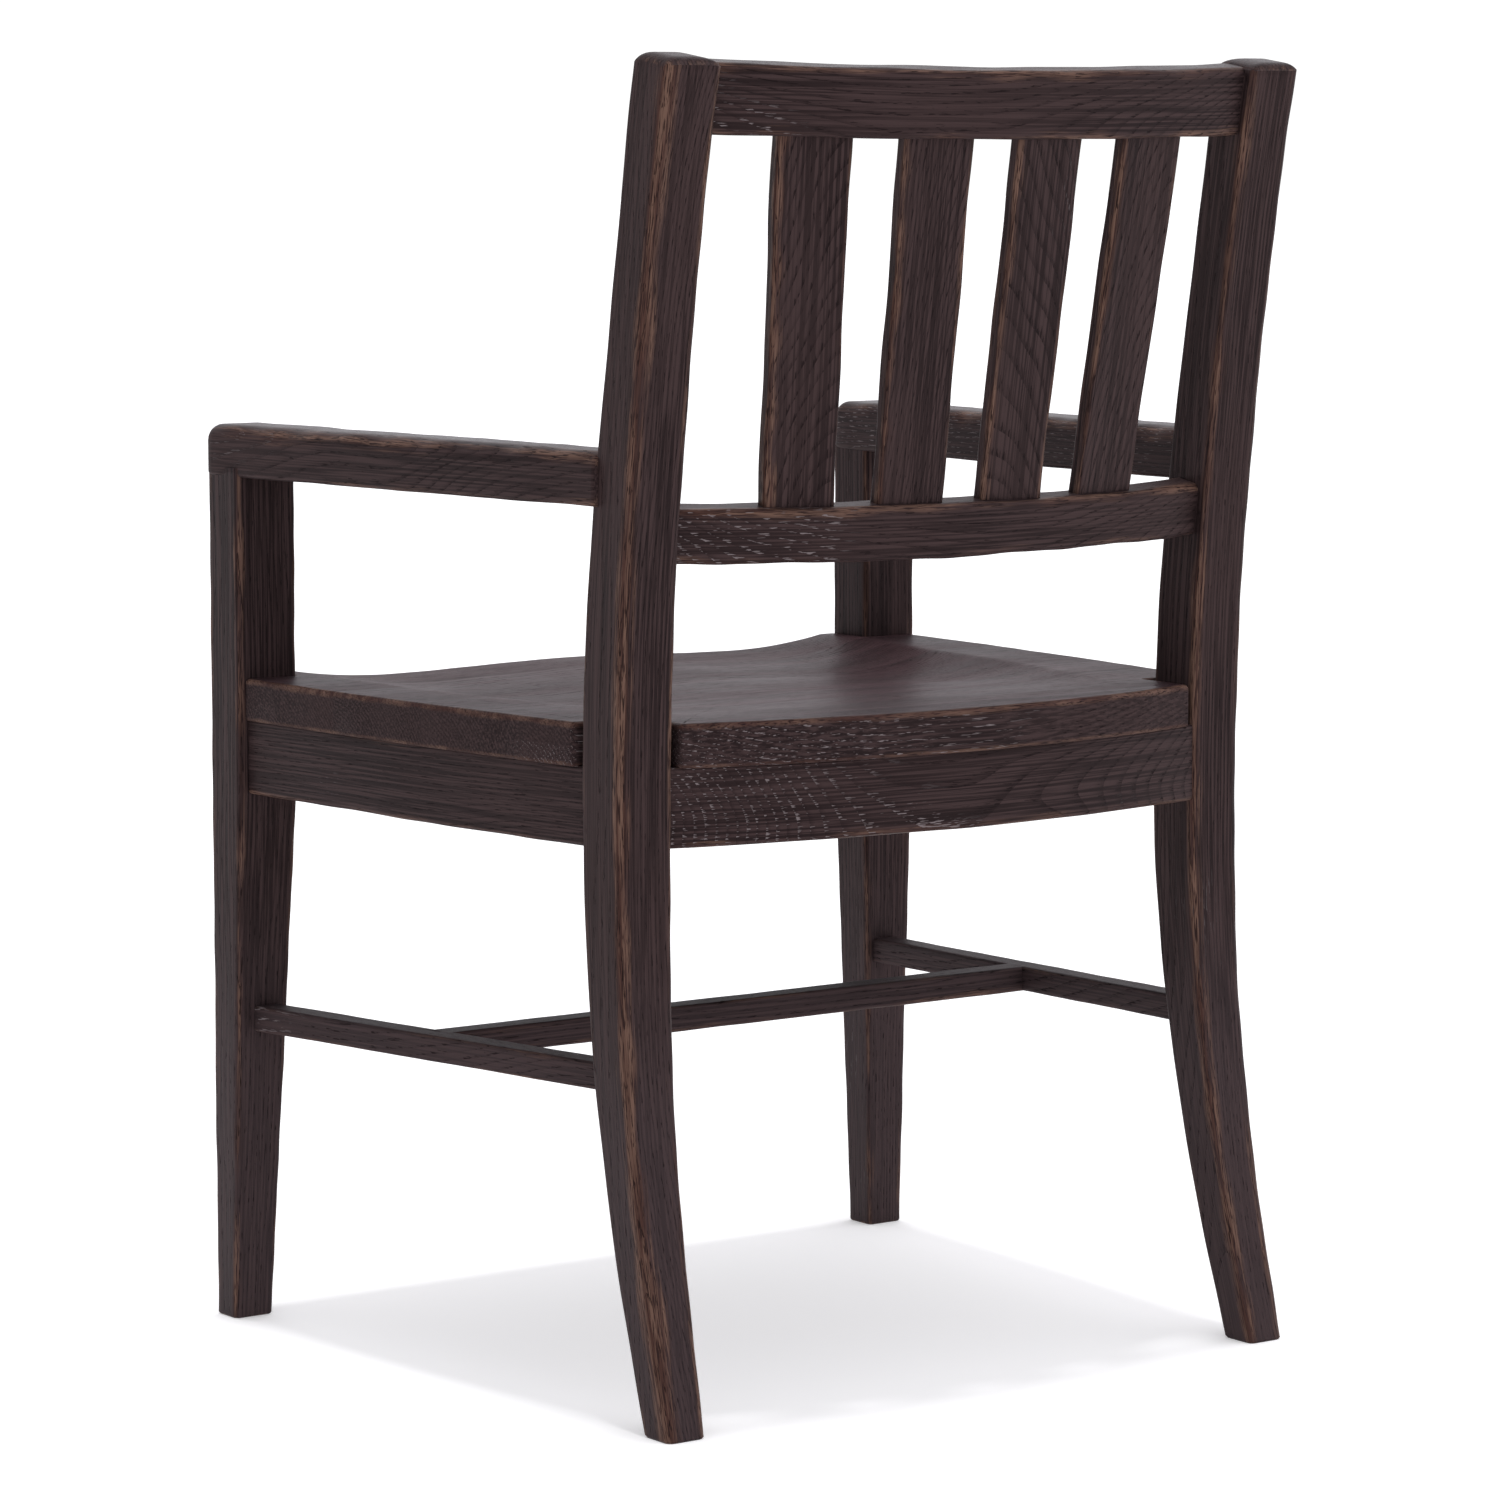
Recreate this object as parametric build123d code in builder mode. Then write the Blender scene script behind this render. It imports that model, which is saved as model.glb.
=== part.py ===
from build123d import *
import os
from math import asin, cos, degrees, radians, sin

# Slat-back wooden armchair, in millimetres.
# +Z is up, the chair faces -Y, and the sitter's left hand is on +X.
# The origin is on the floor, under the middle of the chair's outer box.
# Every left-hand piece is modelled on +X and mirrored in the YZ plane for the right.

# ---- driving dimensions ----------------------------------------------------
TOP_Z = 934.0  # front edge of the rear posts' top ends

# front legs: square above the apron, tapered on two faces below it
LEG_OUT_X = 312.9
LEG_IN_X = 264.8
LEG_IN_X_FOOT = 282.1
LEG_FRONT_Y = -275.3
LEG_BACK_Y = -234.1
LEG_BACK_Y_FOOT = -248.8
TAPER_Z = 397.0  # where the taper starts
LEG_EDGE = 3.5
CUTTER_EDGE = 0.5  # corners of the leg when it trims its neighbours
FOOT_EDGE = 1.0

# rear posts: sabre foot, upright middle, raked top, flat sides
POST_OUT_X = 275.8
POST_IN_X = 232.8
POST_IN_X_FOOT = 245.3
POST_TAPER_Z = 500.0  # where the inner side begins its slow curve out to the foot
POST_FRONT = [(232.0, 0), (201.5, 100), (175.5, 220), (161.5, 340), (159.0, 440),
              (163.0, 540), (180.5, 680), (207.0, 840), (222.5, TOP_Z)]
POST_BACK = [(260.5, 0), (235.5, 100), (213.8, 220), (204.6, 340), (203.8, 440),
             (207.5, 540), (222.2, 680), (245.5, 840), (262.5, TOP_Z - 8)]
POST_EDGE = 4.0
POST_TOP_EDGE = 3.5

# seat plank
SEAT_BOTTOM_Z = 451.0
SEAT_THICK = 31.0
SEAT_FRONT_Y = -275.6
SEAT_SIDE_FRONT_X = 310.0
SEAT_SIDE_REAR_X = 279.0
SEAT_SIDE_BOW = 5.0
SEAT_REAR_Y = 207.5  # rear edge beside the posts
SEAT_REAR_BOW = 33.0
NOTCH_GAP = 6.0  # air between the plank and a rear post
SEAT_EDGE = 3.0
SEAT_UNDER_EDGE = 2.0
SADDLE = [(-295.6, 252.0, 5.6, 2.8), (-60.0, 244.0, 11.5, 8.5), (90.0, 228.0, 4.0, 4.5),
          (205.0, 192.0, -1.0, -0.5)]  # y, half width, depth at the cheeks and at the ridge
SADDLE_CHEEK = 0.635  # where the scoop is deepest, as a share of its half width
SADDLE_LIP = (0.92, 0.3)  # where it turns down from its rim, as shares of half width and depth
SADDLE_OVER = 1.0  # the cutter's rim, above the plank
SADDLE_ROOF = 20.0
UPRIGHT = 0.01  # largest lean of a face that counts as upright

# aprons under the seat
APRON_Z = 398.0
APRON_THICK = 22.0
SIDE_APRON_FRONT_X = 305.5
SIDE_APRON_REAR_X = 272.5
SIDE_APRON_REAR_Y = 165.0  # inside the post, cut back to its front face
SIDE_APRON_BOW = 4.0
REAR_APRON_Y = 202.2  # outer face where it meets a post
REAR_APRON_BOW = 31.5
FRONT_APRON_Y = -271.0
APRON_EDGE = 1.5

# H-shaped stretcher
STRETCH_THICK = 20.0
STRETCH_HIGH = 17.5
STRETCH_FRONT = (299.1, -240.5, 235.9)  # outer top edge at the front leg
STRETCH_REAR = (263.3, 177.0, 246.4)  # outer top edge at the rear post
CROSS_Y = -37.7
STRETCH_EDGE = 2.0

# arms
ARM_Z = 630.0
ARM_THICK = 39.0
ARM_FRONT_Y = -277.0
ARM_REAR_Y = 192.0
ARM_OUT_FRONT_X = 314.6
ARM_OUT_REAR_X = 278.4
ARM_WIDE_FRONT = 49.5
ARM_WIDE_REAR = 44.0
ARM_EDGE = 8.0
ARM_END_EDGE = 9.0
ARM_UNDER_EDGE = 3.0

# back: rails and slats lie along one plane, raked back from upright, and bow rearward
RAKE = 8.6
BACK_Y = 202.0  # lower rail's rear bottom edge beside the posts
BACK_Z = 591.0
BACK_BOW = 25.0
RAIL_THICK = 23.0
LOWER_RAIL_HIGH = 36.8
SLAT_LONG = 255.9  # between the two rails
CREST_HIGH = 46.2
RAIL_EDGE = 2.0
SLAT_THICK = 10.0
SLAT_WIDE = (53.0, 57.5)  # bottom, top
SLAT_INNER_X = (44.5, 49.0)  # slat centre lines at the bottom and top
SLAT_OUTER_X = (135.0, 148.5)
SLAT_EDGE = 2.0

# joinery: tenons, and their shoulders above and below
TENON_THICK = 12.0
TENON_LONG = 17.0
TENON_ROOT = 5.0  # how far a tenon's own block runs back into its piece
APRON_SHOULDER = 6.0
RAIL_SHOULDER = 7.0
ARM_SHOULDER = 9.5
STRETCH_SHOULDER = 3.0
SLAT_TENON = 9.0
SLAT_TENON_THICK = 6.0
SLAT_SHOULDER = 5.0
STUB = 12.0  # stretcher and arm tenons

# corner blocks under the seat, and their screws
BLOCK_HIGH = 30.0
BLOCK_Z = SEAT_BOTTOM_Z - BLOCK_HIGH
BLOCK_FRONT = [(288.0, -255.0), (196.0, -255.0), (288.0, -163.0)]
BLOCK_REAR = [(262.0, 196.0), (166.0, 196.0), (262.0, 100.0)]
SCREW_Z = SEAT_BOTTOM_Z - BLOCK_HIGH / 2
FRONT_SCREWS = ((225.0, -238.0), (268.0, -195.0))  # into the front apron, into the side apron
REAR_SCREWS = ((190.0, 180.0), (245.0, 125.0))
SEAT_SCREW_Z = BLOCK_Z + BLOCK_HIGH / 3
SEAT_SCREW_FRONT = (255.0, -222.0)
SEAT_SCREW_REAR = (215.0, 172.0)
SCREW_SHANK = 4.0
SCREW_POINT = 1.2
SCREW_HEAD = 8.4
SCREW_HEAD_HIGH = 3.2
SCREW_HEAD_EDGE = 1.2
BLOCK_SCREW = 25.0
SEAT_SCREW = 36.0
SINK = 0.5  # room around a sunk head

# working sizes
OVERRUN = 12.0  # extra length of bars before they are cut to length
BIG = 1000.0  # more than the chair's reach, for cutters
LONG_EDGE = 100.0  # shortest edge that counts as running along a piece

SEAT_TOP_Z = SEAT_BOTTOM_Z + SEAT_THICK
SEAT_MID_Z = SEAT_BOTTOM_Z + SEAT_THICK / 2
APRON_HIGH = SEAT_BOTTOM_Z - APRON_Z
CREST_S = LOWER_RAIL_HIGH + SLAT_LONG
POST_SEAT_Y = POST_FRONT[4][0]  # a post's front face beside the seat

os.makedirs("parts", exist_ok=True)


def finish(piece, name):
    """Label a finished piece and write its STEP file."""
    piece.part.label = name
    export_step(piece.part, f"parts/{name}.step")


def finish_pair(piece, name):
    """Write a left-hand piece and its mirror image."""
    with BuildPart() as other:
        mirror(piece.part, about=Plane.YZ)
    finish(piece, f"{name}_left")
    finish(other, f"{name}_right")


def block(low, high):
    """A plain box between two corners, for tenons."""
    size = [b - a for a, b in zip(low, high)]
    middle = [(a + b) / 2 for a, b in zip(low, high)]
    return Pos(*middle) * Box(*size, mode=Mode.PRIVATE)


def mirrored(solid):
    """The right-hand copy of a left-hand tenon."""
    return solid.mirror(Plane.YZ)


def long_edges(part, axis):
    """The part's long edges that run mostly along one axis."""
    def runs_along(edge):
        reach = edge.bounding_box().size
        spans = {"X": reach.X, "Y": reach.Y, "Z": reach.Z}
        return spans[axis] == max(spans.values()) and spans[axis] > LONG_EDGE
    return part.edges().filter_by(runs_along)


def side_frame(front, rear):
    """A frame along a side line: x to the rear, y inward, z up."""
    run = Vector(rear) - Vector(front)
    inward = Vector(-run.Y, run.X, 0)
    return Plane(origin=front, x_dir=run, z_dir=run.cross(inward))


def bowed_bar(frame, long, bow, thick, high, edge, lower_only):
    """A bar bowed towards the frame's +Y, drawn out past both ends to be trimmed to length."""
    radius = ((long / 2) ** 2 + bow ** 2) / (2 * bow)
    reach = asin((long / 2 + OVERRUN) / radius)
    centre = frame.from_local_coords(Vector(0, bow - radius, 0))
    outward = frame.x_dir * sin(reach) + frame.y_dir * cos(reach)
    with BuildPart() as bar:
        with BuildSketch(Plane(origin=centre, x_dir=outward, z_dir=outward.cross(frame.z_dir))):
            with Locations((radius - thick / 2, high / 2)):
                profile = Rectangle(thick, high)
            corners = profile.vertices()
            chamfer(corners.group_by(Axis.Y)[0] if lower_only else corners, length=edge)
        revolve(axis=Axis(centre, frame.z_dir), revolution_arc=2 * degrees(reach))
    return bar.part


# ---- tenons that two pieces share -------------------------------------------
apron_low = APRON_Z + APRON_SHOULDER
apron_high = SEAT_BOTTOM_Z - APRON_SHOULDER
front_apron_mid = FRONT_APRON_Y + APRON_THICK / 2
side_apron_mid = SIDE_APRON_FRONT_X - APRON_THICK / 2
side_apron_mid_rear = SIDE_APRON_REAR_X - APRON_THICK / 2
rear_apron_mid = REAR_APRON_Y - APRON_THICK / 2
half_tenon = TENON_THICK / 2

front_apron_tenon = block(
    (LEG_IN_X - TENON_ROOT, front_apron_mid - half_tenon, apron_low),
    (LEG_IN_X + TENON_LONG, front_apron_mid + half_tenon, apron_high))
side_apron_front_tenon = block(
    (side_apron_mid - half_tenon, LEG_BACK_Y - TENON_LONG, apron_low),
    (side_apron_mid + half_tenon, LEG_BACK_Y + TENON_ROOT, apron_high))
side_apron_rear_tenon = block(
    (side_apron_mid_rear - half_tenon, POST_SEAT_Y - 2 * TENON_ROOT, apron_low),
    (side_apron_mid_rear + half_tenon, POST_SEAT_Y + TENON_LONG, apron_high))
rear_apron_tenon = block(
    (POST_IN_X - TENON_ROOT, rear_apron_mid - half_tenon, apron_low),
    (POST_IN_X + TENON_LONG, rear_apron_mid + half_tenon, apron_high))

stretcher_frame = side_frame(STRETCH_FRONT, STRETCH_REAR)
stretcher_long = (Vector(STRETCH_REAR) - Vector(STRETCH_FRONT)).length
stretcher_tenons = [
    stretcher_frame.location * block(
        (start, (STRETCH_THICK - STUB) / 2, STRETCH_SHOULDER - STRETCH_HIGH),
        (end, (STRETCH_THICK + STUB) / 2, -STRETCH_SHOULDER))
    for start, end in ((-STUB, TENON_ROOT),
                       (stretcher_long - 2 * TENON_ROOT, stretcher_long + STUB))]

arm_frame = side_frame((ARM_OUT_FRONT_X, ARM_FRONT_Y, ARM_Z), (ARM_OUT_REAR_X, ARM_REAR_Y, ARM_Z))
arm_long = Vector(ARM_OUT_REAR_X - ARM_OUT_FRONT_X, ARM_REAR_Y - ARM_FRONT_Y).length
arm_rear_tenon = arm_frame.location * block(
    (arm_long - 2 * STUB, ARM_WIDE_REAR / 2 - STUB, ARM_SHOULDER),
    (arm_long, ARM_WIDE_REAR / 2 + STUB, ARM_THICK - ARM_SHOULDER))
leg_mid = ((LEG_OUT_X + LEG_IN_X) / 2, (LEG_FRONT_Y + LEG_BACK_Y) / 2)
leg_top_tenon = block(
    (leg_mid[0] - STUB, leg_mid[1] - STUB, ARM_Z - TENON_ROOT),
    (leg_mid[0] + STUB, leg_mid[1] + STUB, ARM_Z + 2 * STUB))

# the back's frame: x across, y rearward from the rails' rear face, z up along the slats
back = Plane(origin=(0, BACK_Y, BACK_Z), x_dir=(1, 0, 0),
             z_dir=(0, sin(radians(RAKE)), cos(radians(RAKE))))
between_posts = block((-POST_IN_X, -BIG, 0), (POST_IN_X, BIG, BIG))
rail_tenons = {
    name: back.location * block(
        (POST_IN_X - TENON_ROOT, -(RAIL_THICK + TENON_THICK) / 2, low + RAIL_SHOULDER),
        (POST_IN_X + TENON_LONG, -(RAIL_THICK - TENON_THICK) / 2, low + high - RAIL_SHOULDER))
    for name, low, high in (("lower", 0, LOWER_RAIL_HIGH), ("crest", CREST_S, CREST_HIGH))}


# ---- screws: pan heads, sunk in the corner blocks ---------------------------
def screw(length):
    """A screw along Z, with its head's underside at z=0 and its tip at z=length."""
    with BuildPart() as body:
        with BuildSketch():
            Circle(SCREW_SHANK / 2)
        extrude(amount=length)
        chamfer(body.faces().sort_by(Axis.Z)[-1].edges(), length=SCREW_POINT)
        with BuildSketch():
            Circle(SCREW_HEAD / 2)
        extrude(amount=-SCREW_HEAD_HIGH)
        fillet(body.faces().sort_by(Axis.Z)[0].edges(), radius=SCREW_HEAD_EDGE)
    return body.part


def sunk_hole(length):
    """What a screw and the way to its head take out of the wood."""
    with BuildPart() as hole:
        add(screw(length))
        with BuildSketch():
            Circle(SCREW_HEAD / 2 + SINK)
        extrude(amount=-BLOCK_HIGH)
    return hole.part


# each frame sits at a head's underside and points along its screw
front_block_screws = [
    Plane(origin=(*FRONT_SCREWS[0], SCREW_Z), z_dir=(0, -1, 0)),
    Plane(origin=(*FRONT_SCREWS[1], SCREW_Z), z_dir=(1, 0, 0))]
rear_block_screws = [
    Plane(origin=(*REAR_SCREWS[0], SCREW_Z), z_dir=(0, 1, 0)),
    Plane(origin=(*REAR_SCREWS[1], SCREW_Z), z_dir=(1, 0, 0))]
front_seat_screw = Plane(origin=(*SEAT_SCREW_FRONT, SEAT_SCREW_Z), z_dir=(0, 0, 1))
rear_seat_screw = Plane(origin=(*SEAT_SCREW_REAR, SEAT_SCREW_Z), z_dir=(0, 0, 1))

with BuildPart() as corner_block_screws:
    with Locations(*front_block_screws, *rear_block_screws):
        add(screw(BLOCK_SCREW))
    mirror(about=Plane.YZ)
finish(corner_block_screws, "corner_block_screws")

with BuildPart() as seat_screws:
    with Locations(front_seat_screw, rear_seat_screw):
        add(screw(SEAT_SCREW))
    mirror(about=Plane.YZ)
finish(seat_screws, "seat_screws")


# ---- front legs: one piece from the floor to the arm ------------------------
def tapered_leg(edge):
    """The leg's outside: straight down to the aprons, tapered inward below them."""
    with BuildPart() as leg:
        for z, inner_x, back_y in ((0, LEG_IN_X_FOOT, LEG_BACK_Y_FOOT),
                                   (TAPER_Z, LEG_IN_X, LEG_BACK_Y),
                                   (ARM_Z, LEG_IN_X, LEG_BACK_Y)):
            with BuildSketch(Plane.XY.offset(z)):
                with Locations(((LEG_OUT_X + inner_x) / 2, (LEG_FRONT_Y + back_y) / 2)):
                    RectangleRounded(LEG_OUT_X - inner_x, back_y - LEG_FRONT_Y, edge)
        loft(ruled=True)
    return leg.part


leg_blank = tapered_leg(CUTTER_EDGE)

with BuildPart() as front_leg:
    add(tapered_leg(LEG_EDGE))
    fillet(front_leg.faces().sort_by(Axis.Z)[0].edges(), radius=FOOT_EDGE)
    add(leg_top_tenon)
    for tenon in (front_apron_tenon, side_apron_front_tenon, stretcher_tenons[0]):
        add(tenon, mode=Mode.SUBTRACT)
finish_pair(front_leg, "front_leg")

# ---- rear posts: sabre foot, upright at the seat, raked back above it -------
with BuildPart() as post_side:
    with BuildSketch(Plane.YZ):
        with BuildLine():
            Spline(*POST_FRONT)
            Line(POST_FRONT[-1], POST_BACK[-1])
            Spline(*POST_BACK[::-1])
            Line(POST_BACK[0], POST_FRONT[0])
        make_face()
    extrude(amount=BIG)

with BuildPart() as post_blank:
    add(post_side.part)
    with BuildSketch(Plane.XZ):
        with BuildLine():
            Polyline((POST_IN_X_FOOT, 0), (POST_OUT_X, 0), (POST_OUT_X, TOP_Z),
                     (POST_IN_X, TOP_Z), (POST_IN_X, POST_TAPER_Z))
            TangentArc((POST_IN_X, POST_TAPER_Z), (POST_IN_X_FOOT, 0), tangent=(0, -1))
        make_face()
    extrude(amount=-BIG, mode=Mode.INTERSECT)

with BuildPart() as rear_post:
    add(post_blank.part)
    fillet(long_edges(rear_post.part, "Z"), radius=POST_EDGE)
    fillet(rear_post.faces().sort_by(Axis.Z)[-1].edges(), radius=POST_TOP_EDGE)
    fillet(rear_post.faces().sort_by(Axis.Z)[0].edges(), radius=FOOT_EDGE)
    for tenon in (side_apron_rear_tenon, rear_apron_tenon, stretcher_tenons[1],
                  arm_rear_tenon, rail_tenons["lower"], rail_tenons["crest"]):
        add(tenon, mode=Mode.SUBTRACT)
finish_pair(rear_post, "rear_post")

# ---- aprons: tenoned into the legs and posts --------------------------------
with BuildPart() as front_apron:
    add(block((-LEG_IN_X, FRONT_APRON_Y, APRON_Z),
              (LEG_IN_X, FRONT_APRON_Y + APRON_THICK, SEAT_BOTTOM_Z)))
    fillet(long_edges(front_apron.part, "X").group_by(Axis.Z)[0], radius=APRON_EDGE)
    add(front_apron_tenon)
    add(mirrored(front_apron_tenon))
    add(corner_block_screws.part, mode=Mode.SUBTRACT)
finish(front_apron, "front_apron")

with BuildPart() as rear_apron:
    add(bowed_bar(Plane(origin=(0, REAR_APRON_Y, APRON_Z), x_dir=(1, 0, 0), z_dir=(0, 0, 1)),
                  2 * POST_IN_X, REAR_APRON_BOW, APRON_THICK, APRON_HIGH, APRON_EDGE, True))
    add(between_posts, mode=Mode.INTERSECT)
    add(rear_apron_tenon)
    add(mirrored(rear_apron_tenon))
    add(corner_block_screws.part, mode=Mode.SUBTRACT)
finish(rear_apron, "rear_apron")

with BuildPart() as side_apron:
    front = Vector(SIDE_APRON_FRONT_X, LEG_BACK_Y, APRON_Z)
    rear = Vector(SIDE_APRON_REAR_X, SIDE_APRON_REAR_Y, APRON_Z)
    add(bowed_bar(Plane(origin=(front + rear) / 2, x_dir=front - rear, z_dir=(0, 0, 1)),
                  (front - rear).length, SIDE_APRON_BOW, APRON_THICK, APRON_HIGH, APRON_EDGE, True))
    add(block((0, LEG_BACK_Y, 0), (BIG, BIG, SEAT_TOP_Z)), mode=Mode.INTERSECT)
    add(post_side.part, mode=Mode.SUBTRACT)
    add(side_apron_front_tenon)
    add(side_apron_rear_tenon)
    add(corner_block_screws.part, mode=Mode.SUBTRACT)
finish_pair(side_apron, "side_apron")

# ---- stretchers: two along the sides and one across -------------------------
cross_share = (CROSS_Y - STRETCH_FRONT[1]) / (STRETCH_REAR[1] - STRETCH_FRONT[1])
cross_top = STRETCH_FRONT[2] + cross_share * (STRETCH_REAR[2] - STRETCH_FRONT[2])
cross_reach = STRETCH_FRONT[0] + cross_share * (STRETCH_REAR[0] - STRETCH_FRONT[0])
cross_tenon = block(
    (cross_reach - STRETCH_THICK - TENON_ROOT, CROSS_Y - STUB / 2,
     cross_top - STRETCH_HIGH + STRETCH_SHOULDER),
    (cross_reach - STRETCH_THICK + STUB / 2, CROSS_Y + STUB / 2, cross_top - STRETCH_SHOULDER))

with BuildPart() as stretcher_blank:
    add(stretcher_frame.location * block(
        (-OVERRUN, 0, -STRETCH_HIGH), (stretcher_long + OVERRUN, STRETCH_THICK, 0)))

with BuildPart() as side_stretcher:
    add(stretcher_blank.part)
    fillet(long_edges(side_stretcher.part, "Y"), radius=STRETCH_EDGE)
    add(leg_blank, mode=Mode.SUBTRACT)
    add(post_blank.part, mode=Mode.SUBTRACT)
    for tenon in stretcher_tenons:
        add(tenon)
    add(cross_tenon, mode=Mode.SUBTRACT)
finish_pair(side_stretcher, "side_stretcher")

with BuildPart() as cross_stretcher:
    add(block((-cross_reach, CROSS_Y - STRETCH_THICK / 2, cross_top - STRETCH_HIGH),
              (cross_reach, CROSS_Y + STRETCH_THICK / 2, cross_top)))
    fillet(long_edges(cross_stretcher.part, "X"), radius=STRETCH_EDGE)
    add(stretcher_blank.part, mode=Mode.SUBTRACT)
    add(mirrored(stretcher_blank.part), mode=Mode.SUBTRACT)
    add(cross_tenon)
    add(mirrored(cross_tenon))
finish(cross_stretcher, "cross_stretcher")

# ---- arms: seated on the front legs, tenoned into the rear posts ------------
with BuildPart() as arm:
    with BuildSketch(Plane.XY.offset(ARM_Z)):
        with BuildLine():
            Polyline((ARM_OUT_FRONT_X, ARM_FRONT_Y), (ARM_OUT_REAR_X, ARM_REAR_Y),
                     (ARM_OUT_REAR_X - ARM_WIDE_REAR, ARM_REAR_Y),
                     (ARM_OUT_FRONT_X - ARM_WIDE_FRONT, ARM_FRONT_Y), close=True)
        make_face()
    extrude(amount=ARM_THICK)
    front_end = arm.faces().sort_by(Axis.Y)[0]
    fillet(front_end.edges().sort_by(Axis.Z)[-1], radius=ARM_END_EDGE)
    fillet(long_edges(arm.part, "Y").group_by(Axis.Z)[-1], radius=ARM_EDGE)
    fillet(long_edges(arm.part, "Y").group_by(Axis.Z)[0], radius=ARM_UNDER_EDGE)
    add(post_side.part, mode=Mode.SUBTRACT)
    add(leg_top_tenon, mode=Mode.SUBTRACT)
    add(arm_rear_tenon)
finish_pair(arm, "arm")


# ---- back rails: bowed rearward, crest rail a little below the post tops ----
def slat_frame(index):
    """The frame of one slat, on its rear face at its foot: x across, y up, z forward."""
    inner = index in (1, 2)
    side = 1 if index < 2 else -1
    foot_x, head_x = (side * x for x in (SLAT_INNER_X if inner else SLAT_OUTER_X))
    slope = -2 * BACK_BOW * foot_x / POST_IN_X ** 2
    rise = BACK_BOW * (1 - (foot_x / POST_IN_X) ** 2)
    depth = rise - (RAIL_THICK - SLAT_THICK) / 2
    foot = back.from_local_coords(Vector(foot_x, depth, LOWER_RAIL_HIGH))
    across = back.from_local_coords(Vector(foot_x + 1, depth + slope, LOWER_RAIL_HIGH)) - foot
    return Plane(origin=foot, x_dir=across, z_dir=across.cross(back.z_dir)), head_x - foot_x


def slat_tenons(index):
    """The two tenons of one slat, thinner and narrower than its body."""
    frame, lean = slat_frame(index)
    inset = (SLAT_THICK - SLAT_TENON_THICK) / 2
    foot_half, head_half = (wide / 2 - SLAT_SHOULDER for wide in SLAT_WIDE)
    foot = block((-foot_half, -SLAT_TENON, inset), (foot_half, TENON_ROOT, SLAT_THICK - inset))
    head = block((lean - head_half, SLAT_LONG - TENON_ROOT, inset),
                 (lean + head_half, SLAT_LONG + SLAT_TENON, SLAT_THICK - inset))
    return [frame.location * foot, frame.location * head]


def back_rail(low, high, tenon):
    """One bowed rail of the back, between the posts."""
    with BuildPart() as rail:
        add(bowed_bar(back.offset(low), 2 * POST_IN_X, BACK_BOW, RAIL_THICK, high, RAIL_EDGE,
                      False))
        add(between_posts, mode=Mode.INTERSECT)
        add(tenon)
        add(mirrored(tenon))
        for index in range(4):
            for slat_tenon in slat_tenons(index):
                add(slat_tenon, mode=Mode.SUBTRACT)
    return rail


lower_back_rail = back_rail(0, LOWER_RAIL_HIGH, rail_tenons["lower"])
finish(lower_back_rail, "lower_back_rail")
crest_rail = back_rail(CREST_S, CREST_HIGH, rail_tenons["crest"])
finish(crest_rail, "crest_rail")

# ---- slats: they fan out a little towards the crest rail --------------------
for index in range(4):
    frame, lean = slat_frame(index)
    with BuildPart() as slat:
        with BuildSketch(frame):
            with BuildLine():
                Polyline((-SLAT_WIDE[0] / 2, 0), (SLAT_WIDE[0] / 2, 0),
                         (lean + SLAT_WIDE[1] / 2, SLAT_LONG),
                         (lean - SLAT_WIDE[1] / 2, SLAT_LONG), close=True)
            make_face()
        extrude(amount=SLAT_THICK)
        fillet(long_edges(slat.part, "Z"), radius=SLAT_EDGE)
        for slat_tenon in slat_tenons(index):
            add(slat_tenon)
    finish(slat, f"back_slat_{index + 1}")


# ---- seat: one thick plank, notched at all four corners and scooped ---------
def saddle_section(y, half, cheek, ridge):
    """One cross-section of the scoop: two cheeks and a low ridge between them."""
    cheek_x = SADDLE_CHEEK * half
    lip_x = SADDLE_LIP[0] * half
    lip_z = SEAT_TOP_Z - SADDLE_LIP[1] * cheek
    rim_z = SEAT_TOP_Z + SADDLE_OVER
    roof_z = SEAT_TOP_Z + SADDLE_ROOF
    with BuildSketch(Plane.XZ.offset(-y)) as section:
        with BuildLine():
            Spline((-half, rim_z), (-lip_x, lip_z), (-cheek_x, SEAT_TOP_Z - cheek),
                   (0, SEAT_TOP_Z - ridge), (cheek_x, SEAT_TOP_Z - cheek), (lip_x, lip_z),
                   (half, rim_z))
            Polyline((half, rim_z), (half, roof_z), (-half, roof_z), (-half, rim_z))
        make_face()
    return section.sketch


with BuildPart() as scoop:
    for y, half, cheek, ridge in SADDLE:
        add(saddle_section(y, half, cheek, ridge))
    loft()

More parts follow.
